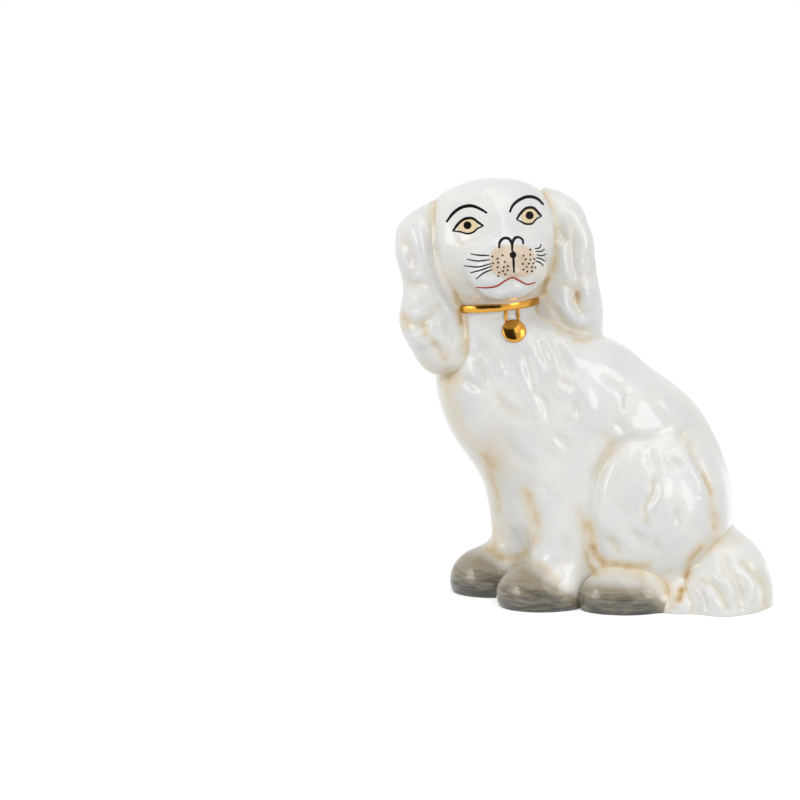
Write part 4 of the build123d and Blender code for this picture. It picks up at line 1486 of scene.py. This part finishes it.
@dataclass
class Dog:
    """The whole figure: every casting, its painted lines and its gilding."""

    seam: float = 149.2
    seam_fillet: float = 1.0
    chest_middle: Xyz = (-47.5, -6.2, 140.0)
    chest_fillet: float = 2.0
    body: Body = field(default_factory=lambda: Body("body_casting"))
    head: Head = field(default_factory=lambda: Head("head_casting"))
    tail: Tail = field(default_factory=lambda: Tail("tail"))
    ears: tuple[Ear, ...] = (
        Ear(
            "right_ear",
            stations=(
                (-66.4, -31.4, -4.5, 1.5, 1.5),
                (-65.6, -31.4, -4.5, 4.4, 4.2),
                (-61.2, -30.9, -4.8, 10.8, 10.0),
                (-52.0, -31.7, -5.4, 15.0, 13.8),
                (-40.1, -34.1, -5.4, 17.0, 15.0),
                (-19.1, -33.8, -4.2, 13.6, 14.2),
                (1.3, -35.8, -3.0, 13.2, 12.6),
                (13.2, -33.0, -2.4, 11.4, 9.8),
                (18.6, -28.4, -2.4, 7.0, 5.6),
                (20.4, -27.4, -2.4, 1.4, 1.2),
            ),
        ),
        Ear(
            "left_ear",
            stations=(
                (-60.8, 41.8, -4.5, 2.0, 2.0),
                (-59.6, 41.8, -4.5, 6.8, 6.3),
                (-52.5, 38.7, -4.8, 13.6, 12.3),
                (-42.2, 36.0, -4.8, 17.3, 14.2),
                (-24.0, 35.3, -4.2, 16.7, 14.2),
                (-4.3, 38.0, -3.0, 12.9, 12.6),
                (12.9, 35.3, -2.4, 9.6, 9.3),
                (18.6, 32.0, -2.4, 5.4, 5.2),
                (20.6, 31.0, -2.4, 1.2, 1.2),
            ),
        ),
    )
    forelegs: tuple[Foreleg, ...] = (
        Foreleg(
            "left_foreleg",
            stations=(
                (-8.0, -14.9, -27.1, 14.6, 14.6),
                (17.6, -14.0, -25.8, 13.5, 13.5),
                (44.8, -13.7, -23.8, 13.2, 13.2),
                (60.0, -16.0, -21.3, 14.0, 14.0),
                (74.0, -18.0, -15.0, 11.0, 11.0),
                (88.0, -19.0, -8.0, 6.0, 6.0),
                (100.0, -19.0, -3.0, 3.0, 3.0),
            ),
            foot=(-24.3, -30.8),
            foot_radii=(21.5, 17.5, 15.6),
        ),
        Foreleg(
            "right_foreleg",
            stations=(
                (-8.0, -37.7, 4.1, 13.5, 13.5),
                (17.6, -35.6, 3.7, 12.4, 12.4),
                (44.8, -34.4, 3.3, 11.9, 11.9),
                (60.0, -36.4, 2.5, 12.4, 12.4),
                (74.0, -36.0, 0.5, 11.0, 11.0),
                (88.0, -32.0, -1.0, 6.0, 6.0),
                (100.0, -28.0, -1.0, 3.0, 3.0),
            ),
            foot=(-46.8, 0.8),
        ),
    )
    feet: tuple[HindFoot, ...] = (
        HindFoot("left_hind_foot", foot=(17.9, -39.0)),
        HindFoot("right_hind_foot", foot=(17.9, 36.1)),
    )

    def build(self) -> None:
        """Builds and dresses each piece, from the body outward."""
        body, head = self.body.form(), self.head.form()
        whole = Merged((body, head), self.seam_fillet)
        self.body.joined = Tucked(whole, self.seam, 1.0)
        self.head.joined = Tucked(whole, self.seam, -1.0)
        attached = [piece.form() for piece in (*self.ears, *self.feet, self.tail)]
        # Painted shade: each casting's wash darkens near the castings listed here.
        self.body.shade_casters = tuple(attached)
        self.head.shade_casters = tuple(ear.form() for ear in self.ears)
        for ear in self.ears:
            ear.against = ear.shade_casters = (head, body)
        for piece in (*self.forelegs, *self.feet, self.tail):
            piece.against = piece.shade_casters = (body,)
        for leg, other in zip(self.forelegs, reversed(self.forelegs)):
            leg.shade_casters = (other.form(),)
        for piece in (self.body, self.head, *self.ears, *self.forelegs, *self.feet, self.tail):
            piece.build().dress(GLAZE)
        slab = bpy.data.objects["base_slab"]
        slab.data.materials.clear()
        slab.data.materials.append(BISCUIT.material())
        face = Surface(head, HEAD.origin)
        chest = Surface(Merged((head, body), self.chest_fillet), np.array(shifted(*self.chest_middle)))
        Gilding().build(chest)
        Enamel("brow_lines", lines=BROWS).build(face, BLACK)
        Enamel("eye_fills", fills=EYE_FILLS, lift=0.1).build(face, IRIS)
        Enamel("eye_rims", lines=EYE_RIMS, dots=PUPILS, lift=0.2).build(face, BLACK)
        Enamel("nose_lines", lines=NOSE_LINES, dots=NOSE_DOTS).build(face, BLACK)
        Enamel("whiskers", lines=WHISKERS, dots=FRECKLES, lift=0.17).build(face, BLACK)
        Enamel("mouth_line", lines=MOUTH_LINES).build(face, RED)


def looked_at(tree: bpy.types.NodeTree) -> bpy.types.NodeSocket:
    """1 for rays that show the surround as it looks: from the camera, a mirror or glass."""
    path = add_node(tree, "ShaderNodeLightPath").outputs
    mirror = {0: path["Is Glossy Ray"], 1: path["Is Transmission Ray"]}
    shown = add_node(tree, "ShaderNodeMath", mirror, operation="MAXIMUM").outputs[0]
    return add_node(tree, "ShaderNodeMath", {0: path["Is Camera Ray"], 1: shown}, operation="MAXIMUM").outputs[0]


@dataclass(frozen=True)
class Paper(Finish):
    """White paper sweep: white to the camera, and a dimmer bounce for the figure."""

    seen: str = "#FDFDFD"
    bounced: str = "#D4D4D4"
    glow: float = 0.42

    def nodes(self, tree: bpy.types.NodeTree) -> bpy.types.NodeSocket:
        """Two matt whites, chosen by whether a ray from the camera or a mirror meets them."""
        dim = add_node(tree, "ShaderNodeBsdfDiffuse", {"Color": srgb(self.bounced)})
        white = add_node(tree, "ShaderNodeBsdfDiffuse", {"Color": srgb(self.seen)})
        glow = add_node(tree, "ShaderNodeEmission", {"Color": srgb(self.seen), "Strength": self.glow})
        lifted = add_node(tree, "ShaderNodeAddShader", {0: white.outputs[0], 1: glow.outputs[0]})
        inputs = {0: looked_at(tree), 1: dim.outputs[0], 2: lifted.outputs[0]}
        return add_node(tree, "ShaderNodeMixShader", inputs).outputs[0]


@dataclass(frozen=True)
class SoftBox:
    """A soft box that looks at a point: lengths in metres, power in watts."""

    name: str
    place: Xyz
    aim: Xyz
    size: Span
    power: float

    def build(self) -> None:
        """Adds the lamp."""
        data = bpy.data.lights.new(self.name, "AREA")
        data.shape = "RECTANGLE"
        data.size, data.size_y = self.size
        data.energy = self.power
        lamp = add_object(self.name, data)
        lamp.location = self.place
        lamp.rotation_euler = (Vector(self.aim) - Vector(self.place)).to_track_quat("-Z", "Y").to_euler()


@dataclass(frozen=True)
class Studio:
    """A paper floor, a white surround, lamps, and a bent dark card that only the glaze and gold mirror. In metres."""

    floor_half: float = 12.0
    boxes: tuple[SoftBox, ...] = (
        SoftBox("key_box", (-1.15, -0.8, 0.6), (0.0, 0.0, 0.11), (0.6, 0.9), 4.6),
        SoftBox("side_box", (1.15, -0.9, 0.6), (0.0, 0.0, 0.1), (0.6, 0.9), 4.6),
        SoftBox("top_box", (-0.1, 0.2, 1.4), (0.0, 0.0, 0.1), (0.5, 0.4), 0.5),
    )
    card_corners: tuple[Xyz, ...] = (
        (-0.75, -1.0, 0.0),
        (0.35, -1.0, 0.0),
        (0.1, -0.7, 0.75),
        (-1.0, -0.75, 0.78),
        (-0.1, 0.1, 1.25),
        (-1.15, 0.1, 1.3),
    )
    sun_power: float = 0.8
    sun_spread: float = 70.0
    sun_turn: Xyz = (34.0, -6.0, 0.0)
    surround_lit: tuple[str, float] = ("#F2F3F4", 0.55)
    surround_seen: tuple[str, float] = ("#FFFFFF", 1.0)

    def sheet(self, name: str, corners: list[Xyz], faces: list[tuple[int, ...]], finish: Finish) -> bpy.types.Object:
        """Adds one flat or bent sheet of the studio."""
        mesh = bpy.data.meshes.new(name)
        mesh.from_pydata(corners, [], faces)
        mesh.materials.append(finish.material())
        made = add_object(name, mesh)
        return made

    def sun(self) -> None:
        """Adds the broad light from above."""
        data = bpy.data.lights.new("sky_sun", "SUN")
        data.energy = self.sun_power
        data.angle = math.radians(self.sun_spread)
        add_object("sky_sun", data).rotation_euler = tuple(map(math.radians, self.sun_turn))

    def surround(self) -> None:
        """Adds the white all round: dimmer as a light than it looks."""
        world = bpy.data.worlds.new("white_surround")
        world.use_nodes = True
        bpy.context.scene.world = world
        tree = world.node_tree
        tree.nodes.clear()
        lit, seen = (
            add_node(tree, "ShaderNodeBackground", {"Color": srgb(code), "Strength": strength}).outputs[0]
            for code, strength in (self.surround_lit, self.surround_seen)
        )
        mix = add_node(tree, "ShaderNodeMixShader", {0: looked_at(tree), 1: lit, 2: seen})
        add_node(tree, "ShaderNodeOutputWorld", {"Surface": mix.outputs[0]})

    def build(self) -> None:
        """Adds the floor, the lamps, the card and the surround."""
        half = self.floor_half
        corners = [(-half, -half, 0), (half, -half, 0), (half, half, 0), (-half, half, 0)]
        self.sheet("studio_floor", corners, [(0, 1, 2, 3)], Paper("white_paper"))
        for box in self.boxes:
            box.build()
        card = self.sheet("dark_card", list(self.card_corners), [(0, 1, 2, 3), (3, 2, 4, 5)], CARD)
        card.visible_camera = card.visible_diffuse = card.visible_shadow = False
        self.sun()
        self.surround()
        bpy.context.scene.view_settings.view_transform = "Standard"


def main() -> None:
    """Builds the figure, the studio and the camera."""
    logging.basicConfig(level=logging.INFO, format="%(name)s: %(message)s")
    Dog().build()
    Studio().build()
    VIEW.build()


if __name__ == "__main__":
    main()
